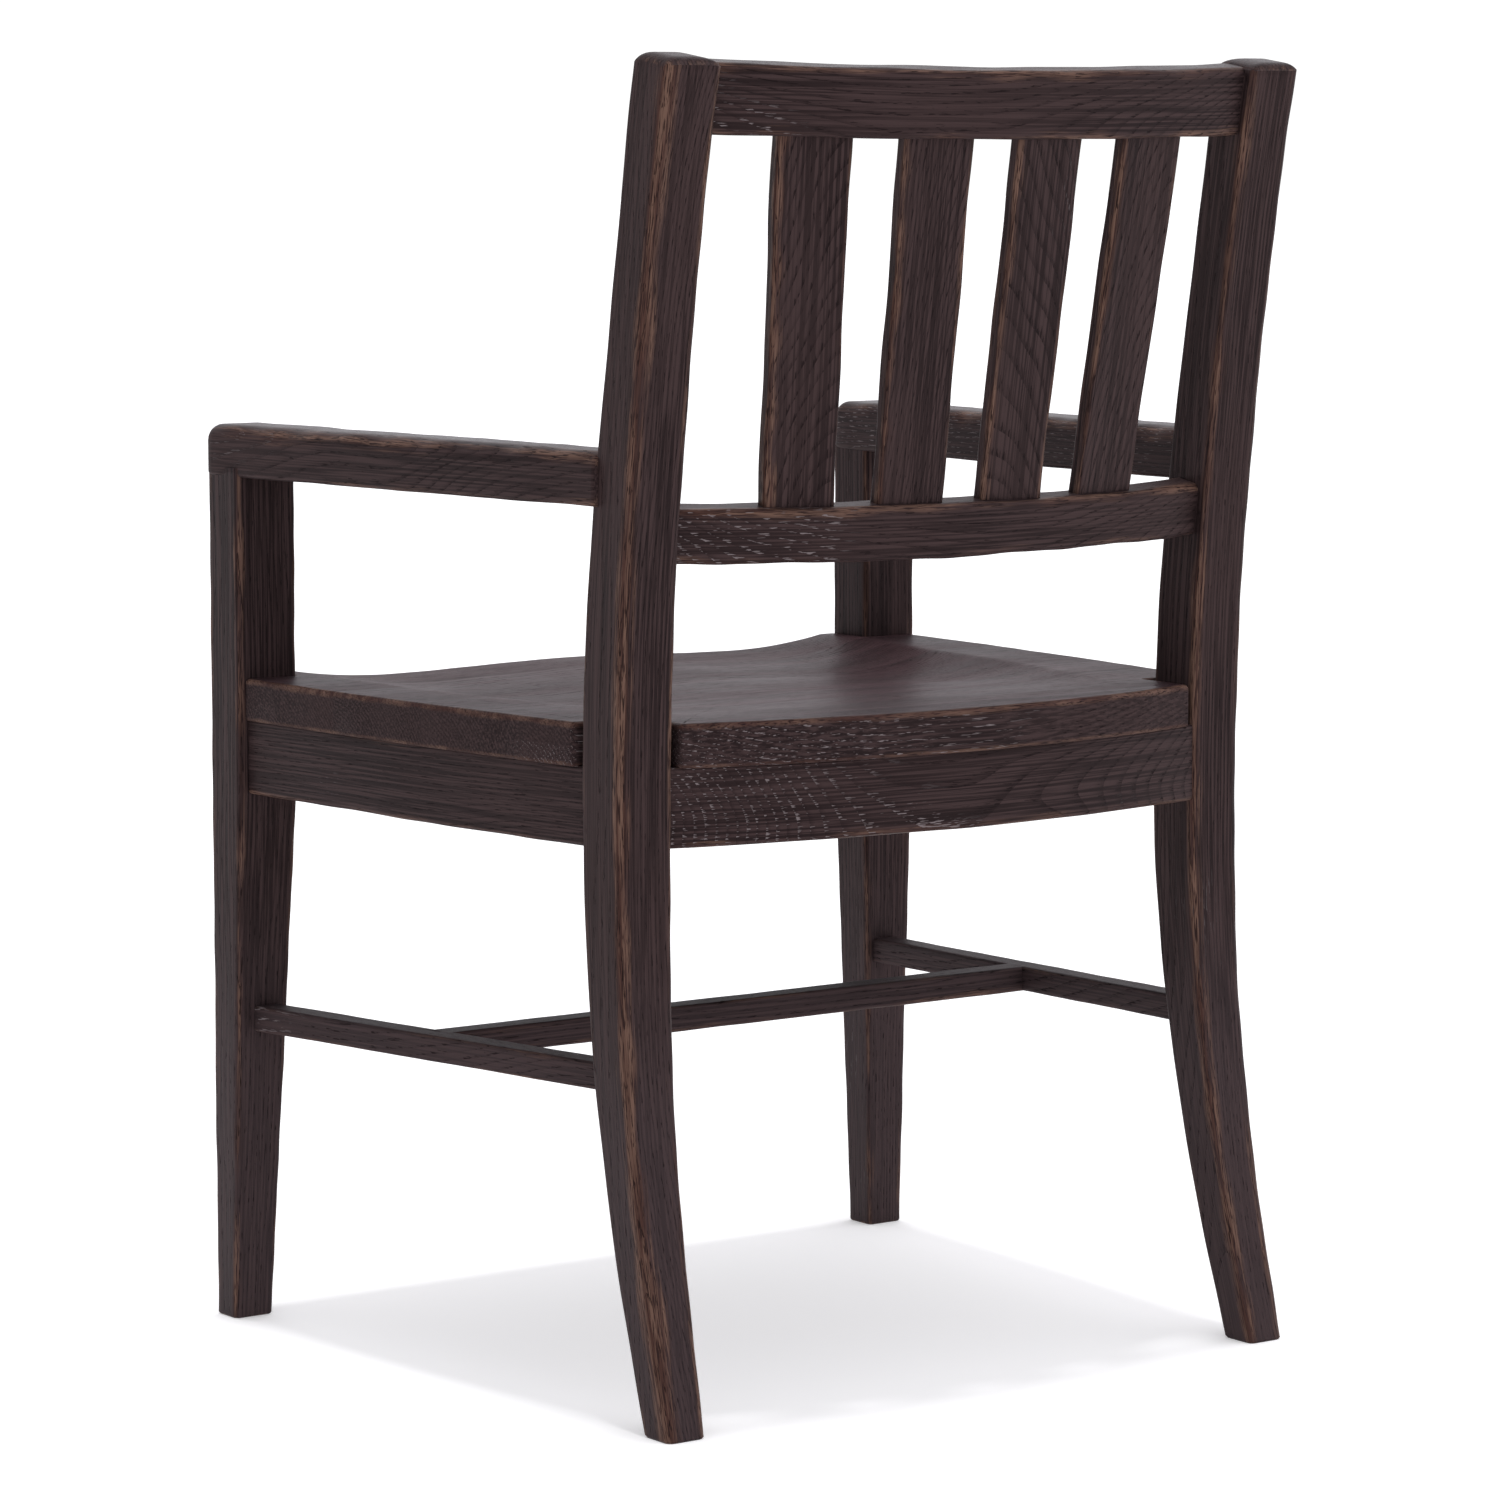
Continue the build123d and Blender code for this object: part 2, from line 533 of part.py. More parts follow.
with BuildPart() as seat:
    notch_y = POST_SEAT_Y - NOTCH_GAP
    notch_x = POST_IN_X - NOTCH_GAP
    side_y = (LEG_BACK_Y + notch_y) / 2
    side_x = (SEAT_SIDE_FRONT_X + SEAT_SIDE_REAR_X) / 2 + SEAT_SIDE_BOW
    with BuildSketch(Plane.XY.offset(SEAT_BOTTOM_Z)):
        with BuildLine():
            Polyline((0, SEAT_FRONT_Y), (LEG_IN_X, SEAT_FRONT_Y), (LEG_IN_X, LEG_BACK_Y),
                     (SEAT_SIDE_FRONT_X, LEG_BACK_Y))
            ThreePointArc((SEAT_SIDE_FRONT_X, LEG_BACK_Y), (side_x, side_y),
                          (SEAT_SIDE_REAR_X, notch_y))
            Polyline((SEAT_SIDE_REAR_X, notch_y), (notch_x, notch_y), (notch_x, SEAT_REAR_Y))
            ThreePointArc((notch_x, SEAT_REAR_Y), (0, SEAT_REAR_Y + SEAT_REAR_BOW),
                          (-notch_x, SEAT_REAR_Y))
            Polyline((-notch_x, SEAT_REAR_Y), (-notch_x, notch_y), (-SEAT_SIDE_REAR_X, notch_y))
            ThreePointArc((-SEAT_SIDE_REAR_X, notch_y), (-side_x, side_y),
                          (-SEAT_SIDE_FRONT_X, LEG_BACK_Y))
            Polyline((-SEAT_SIDE_FRONT_X, LEG_BACK_Y), (-LEG_IN_X, LEG_BACK_Y),
                     (-LEG_IN_X, SEAT_FRONT_Y), (0, SEAT_FRONT_Y))
        make_face()
    extrude(amount=SEAT_THICK)
    add(scoop.part, mode=Mode.SUBTRACT)
    sides = seat.faces().filter_by(lambda face: abs(face.normal_at().Z) < UPRIGHT)
    rims = sides.edges().filter_by(lambda edge: edge.bounding_box().size.Z < SEAT_THICK / 2)
    fillet(rims.filter_by(lambda edge: edge.center().Z < SEAT_MID_Z), radius=SEAT_UNDER_EDGE)
    fillet(rims.filter_by(lambda edge: edge.center().Z > SEAT_MID_Z), radius=SEAT_EDGE)
    add(seat_screws.part, mode=Mode.SUBTRACT)
finish(seat, "seat")

# ---- corner blocks: glued and screwed inside the aprons, under the seat -----
for place, outline, sides, seat_frame in (
        ("front", BLOCK_FRONT, front_block_screws, front_seat_screw),
        ("rear", BLOCK_REAR, rear_block_screws, rear_seat_screw)):
    with BuildPart() as corner_block:
        with BuildSketch(Plane.XY.offset(BLOCK_Z)):
            with BuildLine():
                Polyline(*outline, close=True)
            make_face()
        extrude(amount=SEAT_BOTTOM_Z - BLOCK_Z)
        for neighbour in (front_apron.part, rear_apron.part, side_apron.part, leg_blank,
                          post_blank.part):
            add(neighbour, mode=Mode.SUBTRACT)
        with Locations(*sides):
            add(sunk_hole(BLOCK_SCREW), mode=Mode.SUBTRACT)
        with Locations(seat_frame):
            add(sunk_hole(SEAT_SCREW), mode=Mode.SUBTRACT)
    finish_pair(corner_block, f"corner_block_{place}")
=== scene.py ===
import math
import bpy
import numpy as np
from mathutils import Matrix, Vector


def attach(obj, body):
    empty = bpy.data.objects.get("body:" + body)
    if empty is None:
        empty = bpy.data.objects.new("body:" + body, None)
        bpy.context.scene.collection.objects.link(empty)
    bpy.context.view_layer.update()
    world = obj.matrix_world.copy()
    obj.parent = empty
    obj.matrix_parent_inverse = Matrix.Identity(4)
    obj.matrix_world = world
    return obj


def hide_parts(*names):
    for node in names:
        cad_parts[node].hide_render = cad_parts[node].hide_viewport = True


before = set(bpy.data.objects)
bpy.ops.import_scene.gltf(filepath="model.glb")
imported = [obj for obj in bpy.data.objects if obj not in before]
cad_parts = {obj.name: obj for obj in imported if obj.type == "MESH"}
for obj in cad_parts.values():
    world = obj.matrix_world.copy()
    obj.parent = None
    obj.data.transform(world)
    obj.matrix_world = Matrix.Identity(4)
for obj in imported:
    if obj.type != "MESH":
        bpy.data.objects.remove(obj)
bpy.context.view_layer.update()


MM = 0.001
TAU = 2 * math.pi

# ---- the chair's dimensions, in millimetres, in the row frame ---------------
TOP_Z = 934.0
LEG = {"out": 312.9, "in": 264.8, "in_foot": 282.1, "front": -275.3, "back": -234.1,
       "back_foot": -248.8, "taper": 397.0}
POST_OUT, POST_IN, POST_IN_FOOT = 275.8, 232.8, 245.3
POST_FLARE_Z = 360.0  # below this height a post's inner side curves outward
POST_PROUD = {"out": 0.6, "in": 0.7, "front": 0.3, "back": 1.0}  # past the CAD's faces
TOP_FRONT, TOP_BACK, TOP_DROP = 222.5, 262.5, 8.0  # a post's top: its Y, and how far it falls
POST_FRONT = np.array([(232.0, 0), (201.5, 100), (175.5, 220), (161.5, 340), (159.0, 440),
                       (163.0, 540), (180.5, 680), (207.0, 840), (TOP_FRONT, TOP_Z)])
POST_BACK = np.array([(260.5, 0), (235.5, 100), (213.8, 220), (204.6, 340), (203.8, 440),
                      (207.5, 540), (222.2, 680), (245.5, 840), (TOP_BACK, TOP_Z - TOP_DROP)])
TOP_CROWN, TOP_SLOPE, TOP_LEAN = 1.8, 0.14, 0.17
# how far in a post's top is worn from each side, and how deep
TOP_WEAR = {"out": (10.0, 8.0), "in": (19.0, 5.5), "front": (13.0, 11.0), "back": (7.0, 5.0)}
SEAT_Z, SEAT_TOP = 451.0, 482.0
SEAT_FRONT, SEAT_REAR, SEAT_SIDE = -275.6, 207.5, (309.6, 278.6)
SEAT_SIDE_BOW, SEAT_REAR_BOW = 4.6, 33.0
NOTCH_X, NOTCH_Y = 226.8, 153.0  # the corner of the seat's notch for a rear post
UNDER = 2  # radius of the rim under the seat
APRON_THICK, APRON_Z, FRONT_APRON_Z = 22.0, 397.3, 398.0
SIDE_APRON_BOW, REAR_APRON_BOW = 4.0, 32.6
STRETCHER_WIDE, STRETCHER_HIGH = 20.0, 17.5
STRETCHER_FROM, STRETCHER_TO = (299.1, -244.5, 235.7), (263.3, 187.0, 246.6)
STRETCHER_SEEN = ((-240.5, 235.9), (177.0, 246.4))  # Y and top Z where it leaves the legs
CROSS_Y, CROSS_INTO = -37.7, 14
ARM_Z, ARM_THICK = 630.0, 39.0
ARM_FROM, ARM_TO, ARM_ENDS = -270.0, 181.0, (-277, 192)  # the straight run, and the taper's ends
ARM_OUT, ARM_WIDE = (314.6, 278.4), (49.5, 44.0)
RAKE = math.radians(8.6)
BACK_Y, BACK_Z, BACK_BOW = 202.0, 591.0, 25.0
RAIL_THICK, LOWER_HIGH, CREST_HIGH, SLAT_LONG = 23.0, 36.8, 46.2, 255.9
RAIL_INTO = 8  # how far the rails run into the posts
PALE_TOP, PALE_FADE = 360, 200  # paling begins below this height, and grows over this much
SLAT_THICK, INNER_SLAT, OUTER_SLAT = 10, (44.5, 49.0), (135.0, 148.5)  # X at the foot and head


# ---- small maths ------------------------------------------------------------
def spline(points, at):
    """A natural cubic through (value, position) points, read at positions."""
    value, pos = points[:, 0], points[:, 1]
    n = len(pos)
    h = np.diff(pos)
    system = np.eye(n)
    right = np.zeros(n)
    for i in range(1, n - 1):
        system[i, i - 1:i + 2] = h[i - 1], 2 * (h[i - 1] + h[i]), h[i]
        right[i] = 6 * ((value[i + 1] - value[i]) / h[i] - (value[i] - value[i - 1]) / h[i - 1])
    bend = np.linalg.solve(system, right)
    i = np.clip(np.searchsorted(pos, at) - 1, 0, n - 2)
    p, q = (pos[i + 1] - at) / h[i], (at - pos[i]) / h[i]
    return (p * value[i] + q * value[i + 1]
            + ((p ** 3 - p) * bend[i] + (q ** 3 - q) * bend[i + 1]) * h[i] ** 2 / 6)


def wander(along, seed, lengths):
    """A smooth random curve between about -1 and 1; lengths are its wavelengths in mm."""
    rng = np.random.default_rng(seed)
    total = 0
    for length in lengths:
        total = total + rng.uniform(0.5, 1) * np.sin(
            TAU * np.asarray(along) / (length * rng.uniform(0.8, 1.25)) + rng.uniform(0, TAU))
    return total / (0.75 * len(lengths))


def smooth(t):
    """An S-shaped step from 0 to 1 as t goes from 0 to 1."""
    t = np.clip(t, 0, 1)
    return t * t * (3 - 2 * t)


# ---- bars: stacks of rounded rectangles -------------------------------------
ARC, FLAT = 6, 8  # segments round each corner and across each side
PLUMP = 0.8  # pieces are this much fuller than their CAD box, as their corners are worn away


def sections(a, b, radii, rubs):
    """Rounded rectangles, one per row: local u and v, the distance from the nearest corner's
    ridge, and how wide that ridge is rubbed. Corners run ++, -+, --, +- in u and v."""
    pu, pv, dist, rub = [], [], [], []
    signs = ((1, 1), (-1, 1), (-1, -1), (1, -1))
    for k, (su, sv) in enumerate(signs):
        r = radii[:, k]
        cu, cv = su * (a - r), sv * (b - r)
        for j in range(ARC + 1):
            angle = (k + j / ARC) * math.pi / 2
            pu.append(cu + r * math.cos(angle))
            pv.append(cv + r * math.sin(angle))
            dist.append(r * abs(j / ARC - 0.5) * math.pi / 2)
            rub.append(rubs[:, k])
        n = (k + 1) % 4
        r2 = radii[:, n]
        nu, nv = signs[n][0] * (a - r2), signs[n][1] * (b - r2)
        angle = (k + 1) * math.pi / 2
        start = (cu + r * math.cos(angle), cv + r * math.sin(angle))
        end = (nu + r2 * math.cos(angle), nv + r2 * math.sin(angle))
        length = np.hypot(end[0] - start[0], end[1] - start[1])
        for j in range(1, FLAT):
            t = j / FLAT
            pu.append(start[0] * (1 - t) + end[0] * t)
            pv.append(start[1] * (1 - t) + end[1] * t)
            near, far = r * math.pi / 4 + t * length, r2 * math.pi / 4 + (1 - t) * length
            dist.append(np.minimum(near, far))
            rub.append(np.where(near < far, rubs[:, k], rubs[:, n]))
    return [np.stack(np.broadcast_arrays(*x), 1) for x in (pu, pv, dist, rub)]


def near_floor(at):
    """How much paler the wood is made towards the floor, on the lower legs and the stretchers."""
    return smooth((PALE_TOP - at[:, 2]) / PALE_FADE)


def skin(name, points, dist, rub, bent, grain, lime, dive, polish_and_lit_top, slot="dark_oak"):
    """A closed mesh from a stack of rings in mm, with its wear and grain attributes.
    Grain is the frame of the straight board coordinates, for the rings; bent ones follow the
    piece. Lime is how much pale wax sits in the pores, dive how the rings sink into the board,
    and polish where hands have smoothed it; on the seat it also marks the top, painted lighter
    and purpler as painted light from above and a painted sheen: numbers, or functions of the
    points."""
    rows, n = points.shape[:2]
    ends = np.stack([points[0].mean(0), points[-1].mean(0)])
    flat = np.concatenate([points.reshape(-1, 3), ends])
    i = np.arange(rows - 1)[:, None] * n
    j = np.arange(n)[None, :]
    k = (j + 1) % n
    quads = np.stack([i + j, i + k, i + n + k, i + n + j], -1).reshape(-1, 4).tolist()
    first, last = rows * n, rows * n + 1
    top = (rows - 1) * n
    fans = [(first, (s + 1) % n, s) for s in range(n)]
    fans += [(last, top + s, top + (s + 1) % n) for s in range(n)]
    mesh = bpy.data.meshes.new(name)
    mesh.from_pydata((flat * MM).tolist(), [], quads + fans)
    mesh.polygons.foreach_set("use_smooth", [True] * len(mesh.polygons))
    for label, data in (("ridge", dist), ("rub", rub)):
        values = np.concatenate([data.reshape(-1), [data[0].max(), data[-1].max()]]) * MM
        mesh.attributes.new(label, "FLOAT", "POINT").data.foreach_set("value", values)
    wood = flat @ np.array(grain[0]).T + np.array(grain[1])
    if dive:
        wood[:, 0] += dive(flat)
    wood *= MM
    for label, spread in (("lime", lime), ("polish_and_lit_top", polish_and_lit_top), ("low_pale", near_floor)):
        values = spread(flat) if callable(spread) else np.full(len(flat), spread)
        mesh.attributes.new(label, "FLOAT", "POINT").data.foreach_set("value",
                                                                      values.astype(float))
    mesh.attributes.new("grain", "FLOAT_VECTOR", "POINT").data.foreach_set(
        "vector", wood.reshape(-1))
    follow = np.concatenate([bent.reshape(-1, 3), [bent[0].mean(0), bent[-1].mean(0)]])
    follow = (follow + np.array(grain[1])) * MM
    mesh.attributes.new("follow", "FLOAT_VECTOR", "POINT").data.foreach_set(
        "vector", follow.reshape(-1))
    mesh.validate()
    obj = bpy.data.objects.new(name, mesh)
    bpy.context.scene.collection.objects.link(obj)
    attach(obj, "root")
    return obj


def bar(centre, u, v, a, b, radii, rubs, seed, ends=(0.0, 0.0), bluff=1.0,
        swell=0.16, wave=0.2):
    """Rings of a bar through centre points, a and b its half sizes along u and v. Each of ends
    is how far the bar's end swells past the last centre point, bluff is how wide that rounding
    is, swell how far its faces wander, and wave how unevenly its corners are worn."""
    rows = len(centre)
    u = np.broadcast_to(u, (rows, 3))
    v = np.broadcast_to(v, (rows, 3))
    a, b = np.broadcast_to(a, rows) + PLUMP, np.broadcast_to(b, rows) + PLUMP
    radii = np.broadcast_to(radii, (rows, 4)).copy()
    rubs = np.broadcast_to(rubs, (rows, 4)).copy()
    along = np.concatenate([[0], np.cumsum(np.linalg.norm(np.diff(centre, axis=0), axis=1))])
    for k in range(4):
        radii[:, k] *= 1 + wave * wander(along, seed * 10 + k, (45, 110, 260))
        rubs[:, k] *= 1 + 0.5 * wander(along, seed * 10 + 5 + k, (55, 130, 300))
    radii = np.minimum(radii, 0.9 * np.minimum(a, b)[:, None])
    pu, pv, dist, rub = sections(a, b, radii, rubs)
    face = wander(along[:, None] + 25 * pu / a[:, None], seed + 77, (90, 170, 380))
    grow = 1 + swell * face / np.minimum(a, b)[:, None]
    pu, pv = pu * grow, pv * grow
    rings = [centre[:, None] + pu[..., None] * u[:, None] + pv[..., None] * v[:, None]]
    bents = [np.stack([pu, pv, np.broadcast_to(along[:, None], pu.shape)], -1)]
    dists, rub_rows = [dist], [rub]
    for end, radius, sign in ((0, ends[0], -1), (-1, ends[1], 1)):
        step = np.cross(u[end], v[end])
        run = centre[-1] - centre[0]
        step = step * sign * (1 if step @ run > 0 else -1)
        caps, cap_dist, cap_bent = [], [], []
        turns = [t / 5 * math.pi / 2 for t in range(1, 6)] if radius else []
        for angle in turns:
            inset = radius * bluff * (1 - math.cos(angle))
            caps.append(centre[end] + step * radius * math.sin(angle)
                        + (pu[end] * (1 - inset / a[end]))[:, None] * u[end]
                        + (pv[end] * (1 - inset / b[end]))[:, None] * v[end])
            cap_dist.append(np.minimum(dist[end], abs(angle - math.pi / 4) * radius))
            cap_bent.append(bents[0 if end == 0 else -1][end]
                            + [0, 0, sign * radius * math.sin(angle)])
        base = caps[-1] if caps else rings[0 if end == 0 else -1][end]
        mid = base.mean(0)
        for share in (0.75, 0.5, 0.25):
            caps.append(mid + (base - mid) * share)
            inward = (1 - share) * min(a[end], b[end]) + radius * math.pi / 4
            cap_dist.append(np.full(len(base), inward))
            cap_bent.append(bents[0 if end == 0 else -1][end] * [share, share, 1])
        cap_rub = [rub[end]] * len(caps)
        if end == 0:
            rings.insert(0, np.array(caps[::-1]))
            dists.insert(0, np.array(cap_dist[::-1]))
            rub_rows.insert(0, np.array(cap_rub))
            bents.insert(0, np.array(cap_bent[::-1]))
        else:
            rings.append(np.array(caps))
            dists.append(np.array(cap_dist))
            rub_rows.append(np.array(cap_rub))
            bents.append(np.array(cap_bent))
    return [np.concatenate(x) for x in (rings, dists, rub_rows, bents)]


def facing(points, dist, rub, bent):
    """The same rings, turned so that the mesh's faces look outward."""
    ring, nxt = points[len(points) // 2], points[len(points) // 2 + 1]
    turn = np.cross(ring[1] - ring[0], nxt[0] - ring[0])
    out = ring[0] - ring.mean(0)
    if turn @ out < 0:
        return points[:, ::-1], dist[:, ::-1], rub[:, ::-1], bent[:, ::-1]
    return points, dist, rub, bent


def make(name, rings, grain, lime=0.0, dive=None, polish_and_lit_top=0.0):
    """One piece that stands for the CAD node of nearly the same name."""
    piece = skin(name + "_oak", *facing(*rings), grain, lime, dive, polish_and_lit_top)
    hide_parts(name)
    return piece


def mirror(rings):
    """The same rings on the chair's other side."""
    return [rings[0] * np.array([-1, 1, 1])] + list(rings[1:])


# rows turn the chair's X, Y, Z into two ways across the grain and one along it
ALONG_X = [[0, 1, 0], [0, 0, 1], [1, 0, 0]]
ALONG_Y = [[1, 0, 0], [0, 0, 1], [0, 1, 0]]
ALONG_Z = [[1, 0, 0], [0, 1, 0], [0, 0, 1]]
X, Y, Z = np.eye(3)


def board(turn, centre, pith, shift):
    """Grain frame: pith is how far the tree's heart lies from the piece's centre, across."""
    local = np.array(turn) @ np.array(centre, float)
    return turn, [pith[0] - local[0], pith[1] - local[1], shift - local[2]]


# ---- front legs ---------------------------------------------------------------
def front_leg(seed):
    """The left front leg, straight outside and tapered inward below the apron."""
    z = np.concatenate([np.arange(2.0, LEG["taper"], 4), np.arange(LEG["taper"], ARM_Z + 8, 4)])
    t = np.clip(1 - z / LEG["taper"], 0, 1)
    inner = LEG["in"] + (LEG["in_foot"] - LEG["in"]) * t
    back = LEG["back"] + (LEG["back_foot"] - LEG["back"]) * t
    centre = np.stack([(LEG["out"] + inner) / 2, (LEG["front"] + back) / 2, z], 1)
    return bar(centre, X, Y, (LEG["out"] - inner) / 2, (back - LEG["front"]) / 2,
               [4.5, 3.2, 3.2, 4.0], [5.0, 4.5, 4.0, 6.0], seed, ends=(2.0, 0))


# ---- rear posts ---------------------------------------------------------------
def post_top(x, y):
    """Height of a post's worn top above the floor, over its sloping end cut."""
    cut = TOP_Z + TOP_CROWN - TOP_SLOPE * (y - TOP_FRONT)

    def fall(inward, reach, depth):
        t = np.clip(1 - inward / reach, 0, 1)
        return depth * (1 - np.sqrt(np.maximum(1 - t * t, 0)))
    front = TOP_FRONT + TOP_LEAN * (TOP_Z - cut)
    drops = (fall(POST_OUT + POST_PROUD["out"] - x, *TOP_WEAR["out"]),
             fall(x - POST_IN, *TOP_WEAR["in"]),
             fall(y - front, *TOP_WEAR["front"]), fall(TOP_BACK - y, *TOP_WEAR["back"]))
    return cut - np.sqrt(sum(d * d for d in drops))


def rear_post(seed):
    """The left rear post, from its swept foot to its worn top."""
    share = np.concatenate([[0], np.linspace(0.002, 1, 232)])
    zf, zb = share * TOP_Z, share * (TOP_Z - TOP_DROP)
    yf = spline(POST_FRONT, zf) - POST_PROUD["front"]
    yb = spline(POST_BACK, zb) + POST_PROUD["back"]
    zm = (zf + zb) / 2
    t = np.clip(1 - zm / POST_FLARE_Z, 0, 1)
    inner = POST_IN - POST_PROUD["in"] + (POST_IN_FOOT - POST_IN) * t ** 1.15
    outer = POST_OUT + POST_PROUD["out"]
    a, b = (outer - inner) / 2, (yb - yf) / 2
    centre = np.stack([(outer + inner) / 2, (yf + yb) / 2, zm], 1)
    radii = np.array([6.0, 4.2, 3.5, 3.5]) * np.ones((len(zm), 1))
    # the left post (seed 5) is rubbed widest at its outer rear corner, the right at its inner
    rubs = np.array([9.5, 5.0, 4.0, 4.5] if seed == 5 else [5.0, 7.5, 4.0, 4.5])
    rubs = rubs + np.array([3.0, 2.0, 0, 0]) * smooth((350 - zm) / 300)[:, None]
    for k in range(4):
        radii[:, k] *= 1 + 0.2 * wander(zm, seed * 10 + k, (60, 130, 300))
        rubs[:, k] *= 1 + 0.3 * wander(zm, seed * 10 + 5 + k, (70, 160, 330))
    pu, pv, dist, rub = sections(a, b, radii, rubs)
    face = wander(zm[:, None] + 20 * pu / a[:, None], seed + 77, (110, 210, 400))
    grow = 1 + 0.16 * face / a[:, None]
    x = centre[:, 0, None] + pu * grow
    y = centre[:, 1, None] + pv * grow
    tilt = (zb - zf) / (yb - yf)
    z = zm[:, None] + (y - centre[:, 1, None]) * tilt[:, None]
    # the sides end on the worn top's rim
    rim = post_top(x[-1], y[-1])
    near = smooth((share - 0.93) / 0.07)[:, None]
    z = z + near * (rim - z[-1])[None]
    points = np.stack([x, y, z], -1)
    bent = np.stack([pu, pv, z], -1)
    caps, cap_dist = [], []
    mid = points[-1].mean(0)
    for s in (0.985, 0.95, 0.9, 0.84, 0.76, 0.66, 0.54, 0.4, 0.22):
        ring = mid + (points[-1] - mid) * s
        ring[:, 2] = post_top(ring[:, 0], ring[:, 1])
        caps.append(ring)
        cap_dist.append(np.full(ring.shape[0], (1 - s) * 20.0))
    foot = points[0].copy()
    foot[:, 2] = 0
    foot_rings = [foot.mean(0) + (foot - foot.mean(0)) * s for s in (0.3, 0.65, 0.93)]
    points[0, :, 2] = 1.5
    points = np.concatenate([foot_rings, points, caps])
    dist = np.concatenate([[dist[0] + 9, dist[0] + 6, dist[0]], dist, cap_dist])
    rub = np.concatenate([[rub[0]] * 3, rub, [np.full(len(row), 3.0) for row in caps]])
    tips = np.array(caps) - [(POST_OUT + POST_IN) / 2, 242.0, 0]
    bent = np.concatenate([[bent[0]] * 3, bent, tips])
    return points, dist, rub, bent


# ---- aprons, stretchers, arms -------------------------------------------------
def bowed(start, end, bow, thick, z0, z1, radii, rubs, seed, swell=0.16, up=Z, out=None,
          wave=0.2):
    """A bar from start to end, both on its outer face, bowed outward."""
    start, end = np.array(start, float), np.array(end, float)
    run = end - start
    length = np.linalg.norm(run)
    run = run / length
    out = np.cross(run, up) if out is None else out
    t = np.linspace(0, 1, max(24, int(length / 4)))
    if bow:
        radius = (length ** 2 / 4 + bow ** 2) / (2 * bow)
        s = (t - 0.5) * length
        rise = bow - radius + np.sqrt(radius ** 2 - s ** 2)
        slope = -s / np.sqrt(radius ** 2 - s ** 2)
    else:
        rise, slope = np.zeros_like(t), np.zeros_like(t)
    normal = out[None] - slope[:, None] * run[None]
    normal /= np.linalg.norm(normal, axis=1)[:, None]
    middle = (z0 + z1) / 2
    centre = (start + (end - start) * t[:, None] + out * rise[:, None]
              - normal * thick / 2 + up * middle)
    return bar(centre, normal, up, thick / 2, (z1 - z0) / 2, radii, rubs, seed, swell=swell,
               wave=wave)


def arm(seed):
    """The left arm, from its rounded front end to the rear post."""
    reach = np.linspace(ARM_FROM, ARM_TO, 118)
    t = (reach - ARM_ENDS[0]) / (ARM_ENDS[1] - ARM_ENDS[0])
    out = ARM_OUT[0] + (ARM_OUT[1] - ARM_OUT[0]) * t
    wide = ARM_WIDE[0] + (ARM_WIDE[1] - ARM_WIDE[0]) * t
    bulge = 1.2 * np.exp(-((reach + 262) / 16) ** 2)
    middle = np.full_like(reach, ARM_Z + ARM_THICK / 2 - 0.45)
    centre = np.stack([out - wide / 2, reach, middle], 1)
    radii = np.array([11.5, 11.5, 3.2, 3.2]) * np.ones((len(t), 1))
    rubs = [7.5, 7.0, 3.5, 3.5]
    half = ARM_THICK / 2 - 1.25 - 0.3 * smooth((reach - 60) / 100)
    half = half + 0.15 * wander(reach, seed, (60, 130))
    return bar(centre, X, Z, wide / 2 + 0.5 * bulge, half, radii, rubs, seed, ends=(8.5, 0),
               bluff=1.5, wave=0.25)


up = np.array([0, math.sin(RAKE), math.cos(RAKE)])
rear = np.array([0, math.cos(RAKE), -math.sin(RAKE)])
back_origin = np.array([0, BACK_Y, BACK_Z])


def back_rail(low, high, radii, rubs, seed):
    """A bowed rail between the posts, low is how far up the rake it starts."""
    half = POST_IN + RAIL_INTO
    ends = [back_origin + np.array([x, 0, 0]) for x in (half, -half)]
    drop = BACK_BOW * (1 - (half / POST_IN) ** 2)
    ends = [e + rear * drop for e in ends]
    return bowed(ends[0], ends[1], BACK_BOW - drop, RAIL_THICK, low, low + high, radii, rubs,
                 seed, swell=0.4, up=up, out=rear, wave=0.42)


def slat(index, seed):
    """One of the four slats, counted from the chair's left, square to the rails' bow."""
    side = 1 if index < 2 else -1
    foot_x, head_x = (side * x for x in (INNER_SLAT if index in (1, 2) else OUTER_SLAT))
    slope = -2 * BACK_BOW * foot_x / POST_IN ** 2
    depth = BACK_BOW * (1 - (foot_x / POST_IN) ** 2) - (RAIL_THICK - SLAT_THICK) / 2
    across = X + rear * slope
    across /= np.linalg.norm(across)
    normal = rear - X * slope
    normal /= np.linalg.norm(normal)
    t = np.linspace(-0.02, 1.02, 72)
    foot = back_origin + X * foot_x + rear * depth + up * LOWER_HIGH
    centre = (foot + across * (head_x - foot_x) * t[:, None] + up * SLAT_LONG * t[:, None]
              - normal * SLAT_THICK / 2)
    return bar(centre, across, normal, 27.0 + 1.2 * t, 4.6,
               [2.6, 2.6, 2.2, 2.2], [8.5 if index == 0 else 7.0, 4.5, 4.0, 4.0], seed, swell=0.15)


# ---- seat ---------------------------------------------------------------------
SADDLE = np.array([  # y, half width, cheek depth, ridge depth
    (-290, 251, 7.6, 4.2), (-276, 250, 8.1, 4.6), (-190, 247, 11.6, 7.6), (-100, 241, 12.8, 9.2),
    (-20, 232, 10.6, 8.2), (60, 218, 6.6, 6.0), (120, 205, 3.4, 3.6), (170, 190, 1.1, 1.3),
    (205, 180, 0.0, 0.0), (260, 180, 0.0, 0.0)])


